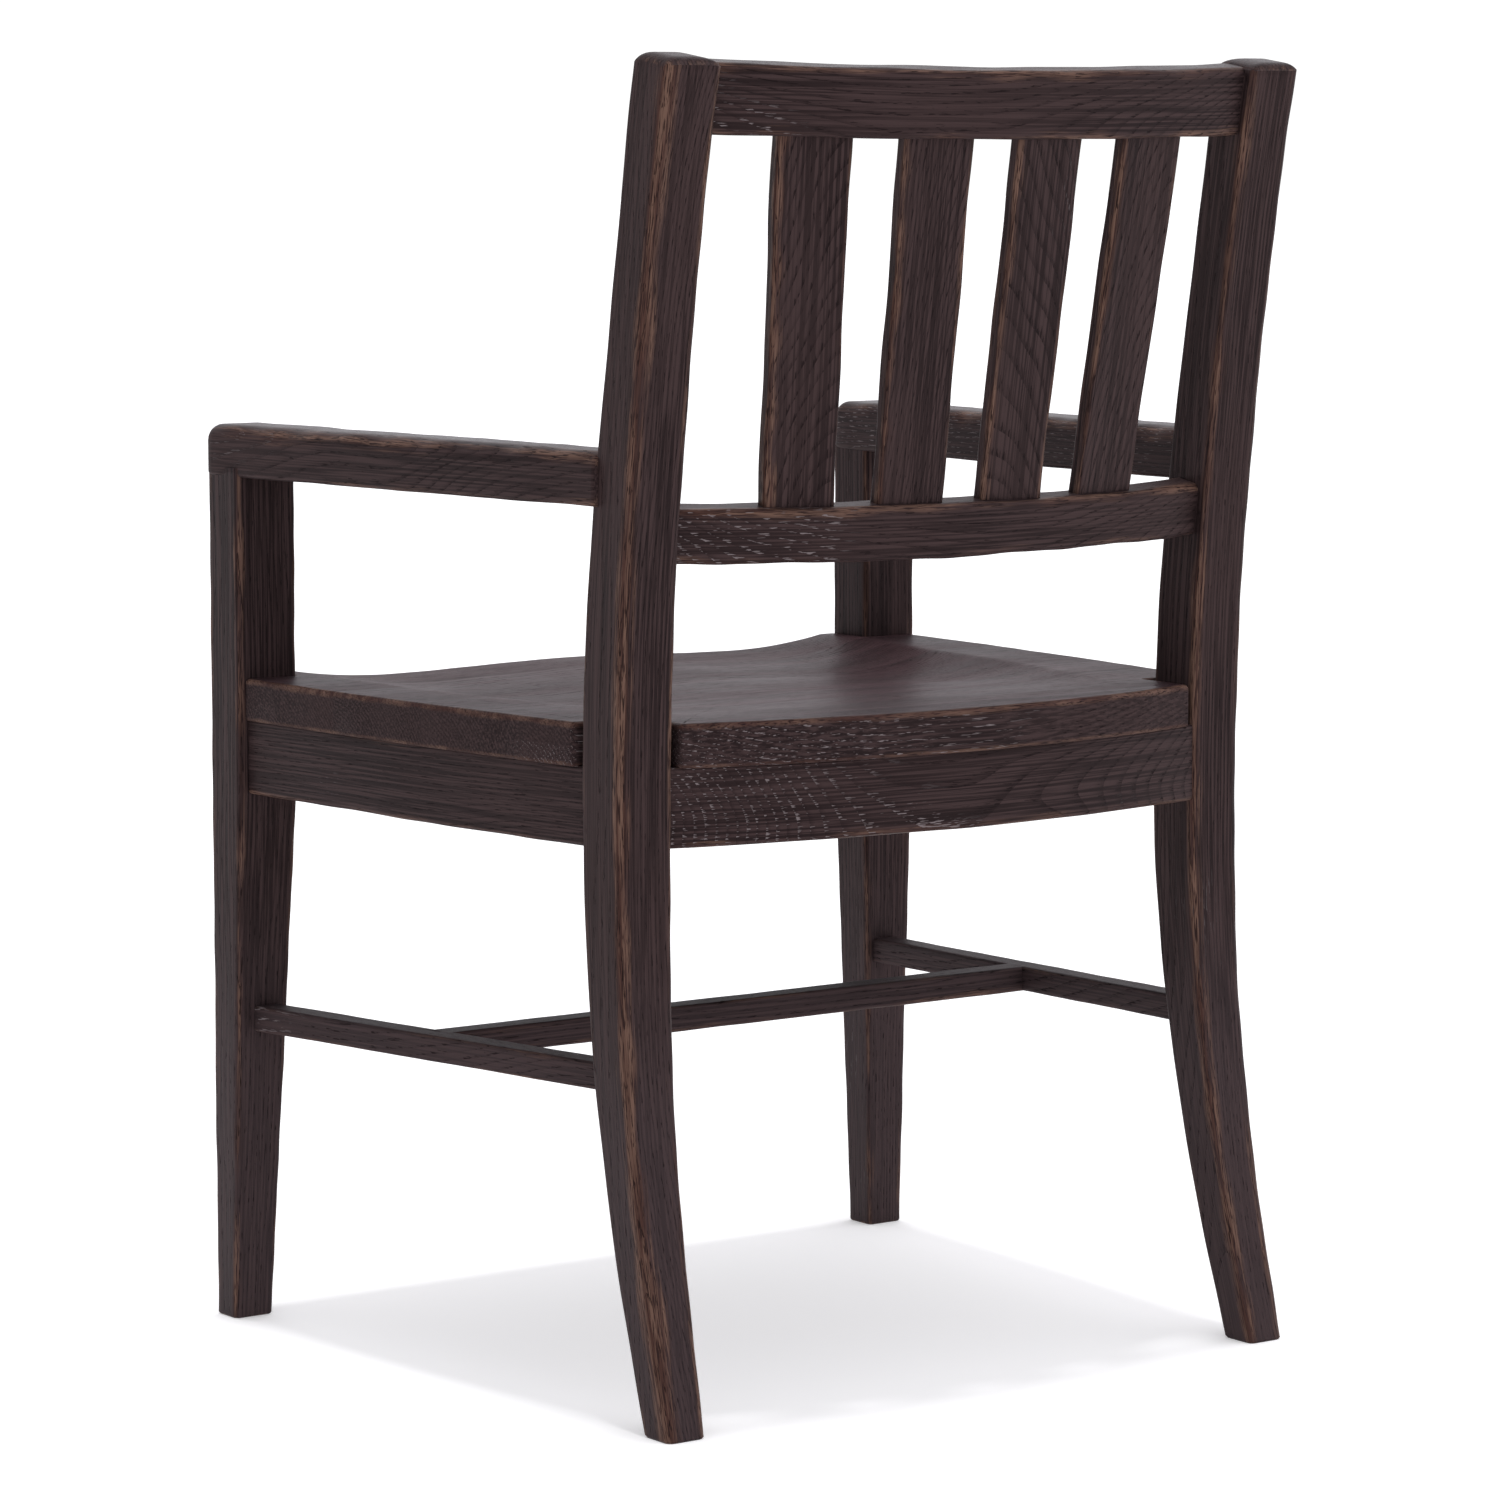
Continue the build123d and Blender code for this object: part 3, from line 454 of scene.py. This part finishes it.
def saddle(x, y):
    """How far the seat's top is scooped below its rim."""
    half, cheek, ridge = (np.interp(y, SADDLE[:, 0], SADDLE[:, k]) for k in (1, 2, 3))
    s = np.abs(x) / half
    turn = 0.64
    inner = ridge + (cheek - ridge) * smooth(s / turn)
    q = np.clip((s - turn) / (1 - turn), 0, 1)
    return np.where(s < turn, inner, cheek * (1 - q * q))


def rounded(corners, step=4.0):
    """Points round an outline; each corner is (x, y, radius, bow of the side after it)."""
    count = len(corners)
    tips = np.array([c[:2] for c in corners], float)
    path = []
    cuts = []
    for k in range(count):
        p, q, n = tips[k - 1], tips[k], tips[(k + 1) % count]
        a, b = (p - q) / np.linalg.norm(p - q), (n - q) / np.linalg.norm(n - q)
        half = math.acos(np.clip(a @ b, -1, 1)) / 2
        cut = corners[k][2] / math.tan(half)
        cuts.append((q + a * cut, q + b * cut))
    for k in range(count):
        start, end = cuts[k]
        for t in np.linspace(0, 1, 6)[:-1]:
            path.append(start * (1 - t) ** 2 + 2 * tips[k] * t * (1 - t) + end * t * t)
        goal = cuts[(k + 1) % count][0]
        length = np.linalg.norm(goal - end)
        run = (goal - end) / length
        out = np.array([run[1], -run[0]])
        steps = max(2, int(length / step))
        for t in np.linspace(0, 1, steps + 1)[:-1]:
            path.append(end + (goal - end) * t + out * corners[k][3] * 4 * t * (1 - t))
    return np.array(path)


def seat(seed):
    """The plank seat, notched round the legs and posts, scooped on top and worn at its rim."""
    half = [(LEG["in"], SEAT_FRONT, 4, 0), (LEG["in"], LEG["back"], 3, 0),
            (SEAT_SIDE[0], LEG["back"], 5, SEAT_SIDE_BOW), (SEAT_SIDE[1], NOTCH_Y, 5, 0),
            (NOTCH_X, NOTCH_Y, 4, 0), (NOTCH_X, SEAT_REAR, 4, SEAT_REAR_BOW)]
    other = [(-x, y, r, 0) for x, y, r, _ in half[::-1]]
    other[2] = (-SEAT_SIDE[1], NOTCH_Y, 5, SEAT_SIDE_BOW)
    line = rounded(half + other)
    line[:, 1] = np.maximum(line[:, 1], SEAT_FRONT)
    tangent = np.roll(line, -1, 0) - np.roll(line, 1, 0)
    tangent /= np.linalg.norm(tangent, axis=1)[:, None]
    normal = np.stack([tangent[:, 1], -tangent[:, 0]], 1)
    along = np.concatenate([[0], np.cumsum(np.linalg.norm(np.diff(line, axis=0), axis=1))])
    worn = 3.6 * (1 + 0.3 * wander(along, seed, (40, 95, 230)))
    line = line + normal * (0.25 * wander(along, seed + 1, (60, 140)))[:, None]
    centre = np.array([0.0, -30.0])
    rows, dist, rub = [], [], []

    def add_row(xy, z, away, width):
        rows.append(np.concatenate([xy, np.broadcast_to(z, len(xy))[:, None]], 1))
        dist.append(np.broadcast_to(away, len(xy)).copy())
        rub.append(np.broadcast_to(width, len(xy)).copy())
    low = line - normal * UNDER
    for s in np.linspace(0.05, 0.98, 26):
        add_row(centre + (low - centre) * s, SEAT_Z, 18.0, 0.0)
    for k in range(0, 5):
        angle = k / 4 * math.pi / 2
        add_row(line - normal * UNDER * (1 - math.sin(angle)),
                SEAT_Z + UNDER * (1 - math.cos(angle)), 2.0, 7.0)
    rim_top = SEAT_TOP - saddle(line[:, 0], line[:, 1])
    for t in np.linspace(0.1, 0.9, 6):
        z = (SEAT_Z + UNDER) * (1 - t) + (rim_top - worn) * t
        add_row(line, z, np.minimum(4 + (1 - t) * 40, 3 + t * 30), 6.0 - 2 * (t < 0.4))
    for k in range(0, 9):
        angle = k / 8 * math.pi / 2
        xy = line - normal * (worn * (1 - math.cos(angle)))[:, None]
        z = SEAT_TOP - saddle(xy[:, 0], xy[:, 1]) - worn * (1 - math.sin(angle))
        add_row(xy, z, 1.4 * worn * abs(angle - math.pi / 4), 8.5)
    inset = line - normal * worn[:, None]
    shares = 1 - np.concatenate([np.linspace(0.006, 0.05, 6), np.linspace(0.07, 0.98, 62)])
    for s in shares:
        xy = centre + (inset - centre) * s
        lift = 0.22 * wander(xy[:, 0] + 0.4 * xy[:, 1], seed + 5, (70, 160)) * (s < 0.94)
        away = np.linalg.norm(inset - xy, axis=1) * 1.6 + 4
        add_row(xy, SEAT_TOP - saddle(xy[:, 0], xy[:, 1]) + lift - 0.1, away, 7.0)
    points = np.array(rows)
    return points, np.array(dist), np.array(rub), points[..., [1, 2, 0]]


# ---- oak shader -----------------------------------------------------------------
class Net:
    """A material's node tree, with short ways to add the nodes used here."""

    def __init__(self, name):
        self.material = bpy.data.materials.new(name)
        self.material.use_nodes = True
        self.tree = self.material.node_tree
        self.tree.nodes.clear()

    def node(self, kind, **settings):
        new = self.tree.nodes.new(kind)
        for key, value in settings.items():
            setattr(new, key, value)
        return new

    def attribute(self, name, output="Fac"):
        return self.node("ShaderNodeAttribute", attribute_name=name).outputs[output]

    def feed(self, socket, value):
        """Links a socket's output to another, or sets a plain value on it."""
        if hasattr(value, "links"):
            self.tree.links.new(value, socket)
        elif value is not None:
            socket.default_value = value

    def math(self, op, a, b=None, clamp=False):
        new = self.node("ShaderNodeMath", operation=op, use_clamp=clamp)
        self.feed(new.inputs[0], a)
        self.feed(new.inputs[1], b)
        return new.outputs[0]

    def stretch(self, vector, scale, shift=(0, 0, 0)):
        new = self.node("ShaderNodeMapping")
        self.feed(new.inputs["Vector"], vector)
        new.inputs["Scale"].default_value = scale
        new.inputs["Location"].default_value = shift
        return new.outputs[0]

    def noise(self, vector, scale, detail=2.0, rough=0.5, shift=(0, 0, 0)):
        """Noise with its own scale in each direction, in cells per metre."""
        new = self.node("ShaderNodeTexNoise")
        self.feed(new.inputs["Vector"], self.stretch(vector, scale, shift))
        new.inputs["Scale"].default_value = 1.0
        new.inputs["Detail"].default_value = detail
        new.inputs["Roughness"].default_value = rough
        return new

    def ramp(self, value, low, high, to_low=0.0, to_high=1.0):
        new = self.node("ShaderNodeMapRange", interpolation_type="SMOOTHSTEP")
        for socket, item in zip(new.inputs, (value, low, high, to_low, to_high)):
            self.feed(socket, item)
        return new.outputs[0]

    def bump(self, height, strength, distance):
        new = self.node("ShaderNodeBump")
        new.inputs["Strength"].default_value = strength
        new.inputs["Distance"].default_value = distance
        self.feed(new.inputs["Height"], height)
        return new.outputs[0]

    def finish(self, shade):
        """Links the finished shader to the material's output, and gives the material."""
        self.feed(self.node("ShaderNodeOutputMaterial").inputs["Surface"], shade.outputs[0])
        return self.material

    def mix(self, share, a, b):
        new = self.node("ShaderNodeMix", data_type="RGBA")
        self.feed(new.inputs[0], share)
        self.feed(new.inputs[6], a)
        self.feed(new.inputs[7], b)
        return new.outputs[2]


RING = 0.0029  # metres from one of the tree's rings to the next
# pores: how many to a metre of grain; streaks: the rubbed streaks' scale; streaky and patchy:
# how ragged the rubbed edges are; rough: the range of the finish's roughness
BAR_LOOK = {"pores": 110, "streaks": (260, 260, 7), "streaky": 4.5, "patchy": 2.6,
            "rough": (0.37, 0.5)}
SEAT_LOOK = {"pores": 85, "streaks": (60, 60, 7), "streaky": 1.0, "patchy": 1.4,
             "rough": (0.47, 0.6)}


def oak(name, look, boards=0.0):
    """Dark stained, wire-brushed oak; boards is the width of glued-up boards, if any."""
    net = Net(name)
    wood, follow = net.attribute("grain", "Vector"), net.attribute("follow", "Vector")
    ridge, rub = net.attribute("ridge"), net.attribute("rub")
    lime, polish_and_lit_top, low_pale = (net.attribute(label) for label in ("lime", "polish_and_lit_top", "low_pale"))
    if boards:
        split = net.node("ShaderNodeSeparateXYZ")
        net.feed(split.inputs[0], wood)
        which = net.math("FLOOR", net.math("DIVIDE", split.outputs[0], boards))
        chance = net.node("ShaderNodeTexWhiteNoise", noise_dimensions="1D")
        net.feed(chance.inputs["W"], which)
        centre = net.math("MULTIPLY", which, -boards)
        shift = net.node("ShaderNodeCombineXYZ")
        net.feed(shift.inputs[0], net.math("ADD", centre, net.math(
            "MULTIPLY", chance.outputs["Value"], 0.05)))
        net.feed(shift.inputs[1], net.math("MULTIPLY", chance.outputs["Value"], 0.035))
        net.feed(shift.inputs[2], net.math("MULTIPLY", which, 1.37))
        moved = net.node("ShaderNodeVectorMath", operation="ADD")
        net.feed(moved.inputs[0], wood)
        net.feed(moved.inputs[1], shift.outputs[0])
        wood = follow = moved.outputs[0]
        tone = chance.outputs["Value"]
    # the tree's rings, pushed about by slow noise
    push = net.noise(wood, (7, 7, 2.2), detail=2)
    moved = net.node("ShaderNodeVectorMath", operation="MULTIPLY_ADD")
    net.feed(moved.inputs[0], push.outputs["Color"])
    moved.inputs[1].default_value = (0.03, 0.03, 0)
    net.feed(moved.inputs[2], wood)
    split = net.node("ShaderNodeSeparateXYZ")
    net.feed(split.inputs[0], moved.outputs[0])
    radius = net.math("SQRT", net.math("ADD", net.math("POWER", split.outputs[0], 2.0),
                                       net.math("POWER", split.outputs[1], 2.0)))
    phase = net.math("FRACT", net.math("MULTIPLY", radius, 1 / RING))
    early = net.ramp(phase, 0.0, 0.55, 1.0, 0.0)
    # fibres, and pores in dashes along the grain, thickest in the early wood
    fibre = net.noise(follow, (560, 560, 7), detail=3, rough=0.62).outputs["Fac"]
    fine = net.noise(follow, (1300, 1300, 60), detail=2).outputs["Fac"]
    cells = net.noise(follow, (1200, 1200, look["pores"]), detail=1,
                      shift=(3, 7, 1)).outputs["Fac"]
    limit = net.math("SUBTRACT", 0.74, net.math("MULTIPLY", early, 0.2))
    pore = net.ramp(net.math("SUBTRACT", cells, limit), 0.0, 0.05)
    waxed = net.noise(wood, (7, 7, 3.4), detail=3, shift=(5, 1, 9)).outputs["Fac"]
    limed = net.ramp(net.math("ADD", waxed, net.math("MULTIPLY", lime, 0.2)), 0.6, 0.72)
    cloud = net.noise(wood, (14, 14, 4), detail=3, shift=(2, 2, 2)).outputs["Fac"]
    # stain, paler towards the floor; the seat's top has its own lighter, purpler colour, board by
    # board, which is painted light from above and a painted sheen
    stain = net.mix(net.ramp(fibre, 0.41, 0.6), (0.0158, 0.0104, 0.0107, 1),
                    (0.0460, 0.0296, 0.0296, 1))
    stain = net.mix(net.math("MULTIPLY", early, 0.48), stain, (0.0108, 0.0069, 0.0073, 1))
    stain = net.mix(net.ramp(cloud, 0.4, 0.7, 0.0, 0.4), stain, (0.0435, 0.0274, 0.0270, 1))
    # the seat's top colour, lighter and purpler than the stain, is painted light from above and a
    # painted sheen, mixed in where the seat's top is marked
    if boards:
        band = net.noise(wood, (45, 45, 3), detail=5, rough=0.7, shift=(6, 2, 4)).outputs["Fac"]
        top = net.mix(net.ramp(band, 0.38, 0.62), (0.030, 0.0152, 0.0175, 1),
                      (0.064, 0.0325, 0.0375, 1))
        share = net.math("MULTIPLY", polish_and_lit_top, net.ramp(tone, 0.0, 1.0, 0.55, 0.85))
        stain = net.mix(share, stain, top)
    # a paler, greyer colour towards the floor
    stain = net.mix(net.math("MULTIPLY", low_pale, 0.4), stain, (0.062, 0.046, 0.049, 1))
    # rubbed-through ridges
    streak = net.noise(follow, look["streaks"], detail=3, rough=0.65,
                       shift=(1, 4, 2)).outputs["Fac"]
    patch = net.noise(wood, (26, 26, 9), detail=2, shift=(8, 3, 2)).outputs["Fac"]
    reach = net.math("DIVIDE", net.math("SUBTRACT", rub, ridge), 0.0035)
    rough_edge = net.math("ADD", reach, net.math(
        "MULTIPLY", net.math("SUBTRACT", streak, 0.5), look["streaky"]))
    rough_edge = net.math("ADD", rough_edge, net.math(
        "MULTIPLY", net.math("SUBTRACT", patch, 0.52), look["patchy"]))
    bare = net.ramp(rough_edge, 0.0, 2.6)
    tan = net.mix(net.ramp(streak, 0.4, 0.62), (0.062, 0.0295, 0.0225, 1),
                  (0.155, 0.090, 0.066, 1))
    tan = net.mix(net.ramp(fine, 0.5, 0.62), tan, (0.024, 0.0125, 0.0105, 1))
    colour = net.mix(net.math("MULTIPLY", bare, 0.85), stain, tan)
    # pores, dark or filled with pale wax
    dark_pore = net.math("MULTIPLY", pore, net.math("SUBTRACT", 0.75, limed, clamp=True))
    colour = net.mix(dark_pore, colour, (0.0065, 0.0042, 0.0045, 1))
    light_pore = net.math("MULTIPLY", net.math("MULTIPLY", pore, limed), 0.8)
    colour = net.mix(light_pore, colour, (0.19, 0.16, 0.163, 1))
    # relief and gloss
    height = net.math("ADD", net.math("MULTIPLY", fibre, 0.5), net.math("MULTIPLY", pore, -0.9))
    height = net.math("ADD", height, net.math("MULTIPLY", early, -0.35))
    shade = net.node("ShaderNodeBsdfPrincipled")
    net.feed(shade.inputs["Base Color"], colour)
    gloss = net.ramp(net.math("ADD", net.math("MULTIPLY", fibre, 0.5),
                              net.math("MULTIPLY", cloud, 0.5)), 0.3, 0.7, *look["rough"])
    gloss = net.math("SUBTRACT", gloss, net.math("MULTIPLY", polish_and_lit_top, 0.1))
    gloss = net.math("SUBTRACT", gloss, net.math("MULTIPLY", bare, 0.07))
    net.feed(shade.inputs["Roughness"], net.math("ADD", gloss, net.math(
        "MULTIPLY", pore, 0.2), clamp=True))
    shade.inputs["Specular IOR Level"].default_value = 0.06
    shade.inputs["Specular Tint"].default_value = (1, 0.66, 0.68, 1)
    shade.inputs["Sheen Weight"].default_value = 0.005
    shade.inputs["Sheen Roughness"].default_value = 0.45
    shade.inputs["Sheen Tint"].default_value = (0.86, 0.80, 0.92, 1)
    net.feed(shade.inputs["Normal"], net.bump(height, 0.55, 0.0005))
    return net.finish(shade)


def beech(name):
    """Plain sawn wood for the corner blocks."""
    net = Net(name)
    place = net.node("ShaderNodeTexCoord").outputs["Object"]
    fibre = net.noise(place, (60, 420, 420), detail=3, rough=0.6).outputs["Fac"]
    fleck = net.noise(place, (240, 900, 900), detail=1, shift=(1, 2, 3)).outputs["Fac"]
    colour = net.mix(net.ramp(fibre, 0.3, 0.7), (0.33, 0.20, 0.11, 1), (0.47, 0.31, 0.18, 1))
    colour = net.mix(net.ramp(fleck, 0.6, 0.7, 0.0, 0.5), colour, (0.22, 0.12, 0.07, 1))
    shade = net.node("ShaderNodeBsdfPrincipled")
    net.feed(shade.inputs["Base Color"], colour)
    net.feed(shade.inputs["Roughness"], net.ramp(fibre, 0.3, 0.7, 0.6, 0.78))
    net.feed(shade.inputs["Normal"], net.bump(fibre, 0.4, 0.0004))
    return net.finish(shade)


def zinc(name):
    """Yellow zinc plate for the screws."""
    net = Net(name)
    place = net.node("ShaderNodeTexCoord").outputs["Object"]
    cloud = net.noise(place, (300, 300, 300), detail=3).outputs["Fac"]
    shade = net.node("ShaderNodeBsdfPrincipled")
    net.feed(shade.inputs["Base Color"], net.mix(net.ramp(cloud, 0.35, 0.65),
                                                 (0.62, 0.52, 0.30, 1), (0.55, 0.52, 0.42, 1)))
    net.feed(shade.inputs["Roughness"], net.ramp(cloud, 0.3, 0.7, 0.3, 0.45))
    shade.inputs["Metallic"].default_value = 1.0
    return net.finish(shade)


# ---- build every piece ------------------------------------------------------------
pieces = []


def pair(name, shape, seeds, turn, centre, piths, lime=0.0, dive=None, polish_and_lit_top=0.0):
    """A piece for each side of the chair: centre is the left one's, each has its own pith."""
    for k, (side, sign) in enumerate((("left", 1), ("right", -1))):
        rings = shape(seeds[k])
        rings = rings if sign == 1 else mirror(rings)
        where = (sign * centre[0], centre[1], centre[2])
        pieces.append(make(f"{name}_{side}", rings,
                           board(turn, where, piths[k], seeds[k] * 830.0), lime, dive, polish_and_lit_top))


pair("front_leg", front_leg, (3, 4), ALONG_Z, (289, -255, 300), ((70, 45), (-85, 30)), -0.35)
pair("rear_post", rear_post, (5, 6), ALONG_Z, (254, 200, 400), ((95, 40), (80, -55)), -0.3,
     polish_and_lit_top=lambda at: smooth((at[:, 2] - TOP_Z + 14) / 10))
pair("arm", arm, (7, 8), ALONG_Y, (272, -50, 650), ((60, 25), (-75, 35)), 0.35,
     dive=lambda at: 7 * np.exp(-((at[:, 1] + 40) / 90) ** 2),
     polish_and_lit_top=lambda at: smooth((at[:, 2] - ARM_Z - ARM_THICK + 12) / 8))


APRON_RADII = [2.0, 2.0, 2.5, 3.0]


def side_apron(seed):
    """The left apron, between the front leg and the rear post."""
    return bowed((305.5, -240, 0), (272.5, 165, 0), SIDE_APRON_BOW, APRON_THICK, APRON_Z, SEAT_Z,
                 APRON_RADII, [1.0, 0.0, 0.0, 4.5], seed, out=np.array([0.996, 0.081, 0]))


def side_stretcher(seed):
    """The left stretcher, which rises towards the rear."""
    start, end = np.array(STRETCHER_FROM), np.array(STRETCHER_TO)
    run = (end - start) / np.linalg.norm(end - start)
    out = np.cross(run, Z)
    out /= np.linalg.norm(out)
    high = np.cross(out, run)
    return bowed(start, end, 0, STRETCHER_WIDE, -STRETCHER_HIGH, 0, [2.5] * 4,
                 [3.0, 2.0, 2.0, 3.0], seed, up=high, out=out)


pair("side_apron", side_apron, (9, 10), ALONG_Y, (285, -35, 425), ((45, 62), (-52, 56)))
pair("side_stretcher", side_stretcher, (11, 12), ALONG_Y, (272, -35, 232), ((50, 30), (45, -50)),
     polish_and_lit_top=-1.2)

rings = bowed((-270, -271, 0), (270, -271, 0), 0, APRON_THICK, FRONT_APRON_Z, SEAT_Z,
              APRON_RADII, [1.0, 0, 0, 4.5], 13, out=-Y)
pieces.append(make("front_apron", rings, board(ALONG_X, (0, -260, 425), (80, 18), 900)))
rings = bowed((236.8, 201.1, 0), (-236.8, 201.1, 0), REAR_APRON_BOW, APRON_THICK, APRON_Z, SEAT_Z,
              APRON_RADII, [1.0, 0, 0, 5.0], 14, out=Y)
pieces.append(make("rear_apron", rings, board(ALONG_X, (0, 200, 425), (92, 4), 1700),
                   lime=lambda at: 0.1 + 0.9 * smooth((at[:, 0] + 130) / 220),
                   dive=lambda at: -2.6 * np.logaddexp(0, (at[:, 0] - 135) / 14)
                   + 0.6 * np.logaddexp(0, (-at[:, 0] - 150) / 22)))
(near_y, near_z), (far_y, far_z) = STRETCHER_SEEN
share = (CROSS_Y - near_y) / (far_y - near_y)
cross_x = STRETCHER_FROM[0] + share * (STRETCHER_TO[0] - STRETCHER_FROM[0]) - CROSS_INTO
cross_z = near_z + share * (far_z - near_z)
cross_face = CROSS_Y + STRETCHER_WIDE / 2
rings = bowed((cross_x, cross_face, 0), (-cross_x, cross_face, 0), 0, STRETCHER_WIDE,
              cross_z - STRETCHER_HIGH, cross_z, [2.5] * 4, [3.0] * 4, 15, out=Y)
pieces.append(make("cross_stretcher", rings, board(ALONG_X, (0, -37, 232), (50, 28), 2600),
                   polish_and_lit_top=-1.2))


def near_top(at, top):
    """How close points of the back are to a rail's top edge, that far up the rake."""
    return smooth(((at - back_origin) @ up - top + 6) / 5)


rings = back_rail(0, LOWER_HIGH, [4.6, 3.4, 3.0, 3.4], [6.0, 5.0, 3.0, 4.0], 16)
pieces.append(make("lower_back_rail", rings, board(ALONG_X, (0, 215, 610), (78, 10), 3300),
                   lime=lambda at: 0.1 + 1.1 * smooth((at[:, 0] - 10) / 130)))
rings = back_rail(LOWER_HIGH + SLAT_LONG, CREST_HIGH, [4.6, 3.6, 3.0, 3.4],
                  [6.0, 5.0, 3.0, 4.5], 17)
pieces.append(make("crest_rail", rings, board(ALONG_X, (0, 255, 905), (74, 22), 4100),
                   lime=lambda at: 0.3 + 0.35 * smooth((at[:, 0] + 40) / 200),
                   dive=lambda at: 0.07 * at[:, 0],
                   polish_and_lit_top=lambda at: near_top(at, LOWER_HIGH + SLAT_LONG + CREST_HIGH)))
for index, (x, pith) in enumerate(((141, (30, 85)), (47, (75, 55)), (-47, (-40, 80)),
                                   (-141, (15, 95)))):
    pieces.append(make(f"back_slat_{index + 1}", slat(index, 20 + index),
                       board(ALONG_Z, (x, 225, 760), pith, 5000 + 700 * index), lime=-0.3))


def seat_wax(at):
    """Wax sits in the seat's edges, most at the rear and towards +X, and not in its top."""
    x, y, z = at.T
    edge = np.where(y > 160, 0.1 + 1.0 * smooth((x + 130) / 220), 0.1 + 0.8 * smooth((y - 60) / 60))
    return np.where(z < np.where(y > 150, SEAT_TOP - 3.5, SEAT_TOP - 17), edge, -0.3)


# the seat's marked top is painted lighter and purpler by its material: painted light from above and
# a painted sheen
seat_piece = make("seat", seat(30), board(ALONG_X, (0, 0, 470), (12, 60), 8800), seat_wax,
                  polish_and_lit_top=lambda at: at[:, 2] > SEAT_TOP - saddle(at[:, 0], at[:, 1]) - 2.5)

dark_oak = oak("dark_oak", BAR_LOOK)
seat_oak = oak("seat_oak", SEAT_LOOK, boards=0.105)
for piece in pieces:
    piece.data.materials.append(dark_oak)
seat_piece.data.materials.append(seat_oak)
block_wood, screw_steel = beech("block_wood"), zinc("screw_steel")
for name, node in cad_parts.items():
    for prefix, material in (("corner_block_screws", screw_steel), ("seat_screws", screw_steel),
                             ("corner_block_", block_wood)):
        if name.startswith(prefix):
            node.data.materials.clear()
            node.data.materials.append(material)
            break

# ---- floor, light and camera --------------------------------------------------------
floor_mesh = bpy.data.meshes.new("floor")
FAR = 60  # metres from the middle to the floor's edge
floor_mesh.from_pydata([(-FAR, -FAR, 0), (FAR, -FAR, 0), (FAR, FAR, 0), (-FAR, FAR, 0)],
                       [], [(0, 1, 2, 3)])
floor = bpy.data.objects.new("floor", floor_mesh)
bpy.context.scene.collection.objects.link(floor)
paper = Net("paper")
matte = paper.node("ShaderNodeBsdfPrincipled")
matte.inputs["Base Color"].default_value = (0.9, 0.9, 0.9, 1)
matte.inputs["Roughness"].default_value = 1.0
matte.inputs["Specular IOR Level"].default_value = 0.0
matte.inputs["Emission Color"].default_value = (1, 1, 1, 1)
matte.inputs["Emission Strength"].default_value = 0.29
floor_mesh.materials.append(paper.finish(matte))

world = bpy.data.worlds.new("studio")
world.use_nodes = True
sky = world.node_tree
sky.nodes.clear()
way = sky.nodes.new("ShaderNodeTexCoord")
split = sky.nodes.new("ShaderNodeSeparateXYZ")
grade = sky.nodes.new("ShaderNodeMapRange")
lean = sky.nodes.new("ShaderNodeMapRange")
product = sky.nodes.new("ShaderNodeMath")
dome = sky.nodes.new("ShaderNodeBackground")
plain = sky.nodes.new("ShaderNodeBackground")
seen = sky.nodes.new("ShaderNodeLightPath")
choose = sky.nodes.new("ShaderNodeMixShader")
world_out = sky.nodes.new("ShaderNodeOutputWorld")
# brighter overhead, and dimmer towards +X
for socket, value in zip(grade.inputs[1:5], (0.0, 1.0, 0.98, 1.2)):
    socket.default_value = value
for socket, value in zip(lean.inputs[1:5], (-0.6, 0.9, 1.13, 0.45)):
    socket.default_value = value
product.operation = "MULTIPLY"
plain.inputs["Color"].default_value = (1, 1, 1, 1)
plain.inputs["Strength"].default_value = 1.1
dome.inputs["Color"].default_value = (0.97, 0.96, 1, 1)
for start, end in ((way.outputs["Generated"], split.inputs[0]),
                   (split.outputs[2], grade.inputs[0]),
                   (split.outputs[0], lean.inputs[0]),
                   (grade.outputs[0], product.inputs[0]),
                   (lean.outputs[0], product.inputs[1]),
                   (product.outputs[0], dome.inputs["Strength"]),
                   (seen.outputs["Is Camera Ray"], choose.inputs[0]),
                   (dome.outputs[0], choose.inputs[1]),
                   (plain.outputs[0], choose.inputs[2]),
                   (choose.outputs[0], world_out.inputs[0])):
    sky.links.new(start, end)
bpy.context.scene.world = world

sun = bpy.data.lights.new("overhead", "SUN")
sun.energy = 0.95
sun.angle = math.radians(3.5)
overhead = bpy.data.objects.new("overhead", sun)
overhead.location = (0, 0, 3)
bpy.context.scene.collection.objects.link(overhead)

AZ, EL = math.radians(144.036), math.radians(6.502)  # where the camera stands
CAMERA_AT, LENS = (2321.84, 3174.10, 878.34), 129.18
camera_data = bpy.data.cameras.new("camera")
camera_data.sensor_width = 36.0
camera_data.lens = LENS
camera_data.clip_end = 300
camera = bpy.data.objects.new("camera", camera_data)
back_way = Vector((math.sin(AZ) * math.cos(EL), -math.cos(AZ) * math.cos(EL), math.sin(EL)))
camera.rotation_euler = back_way.to_track_quat("Z", "Y").to_euler()
camera.location = Vector(CAMERA_AT) * MM
bpy.context.scene.collection.objects.link(camera)
bpy.context.scene.camera = camera
bpy.context.scene.view_settings.view_transform = "Standard"
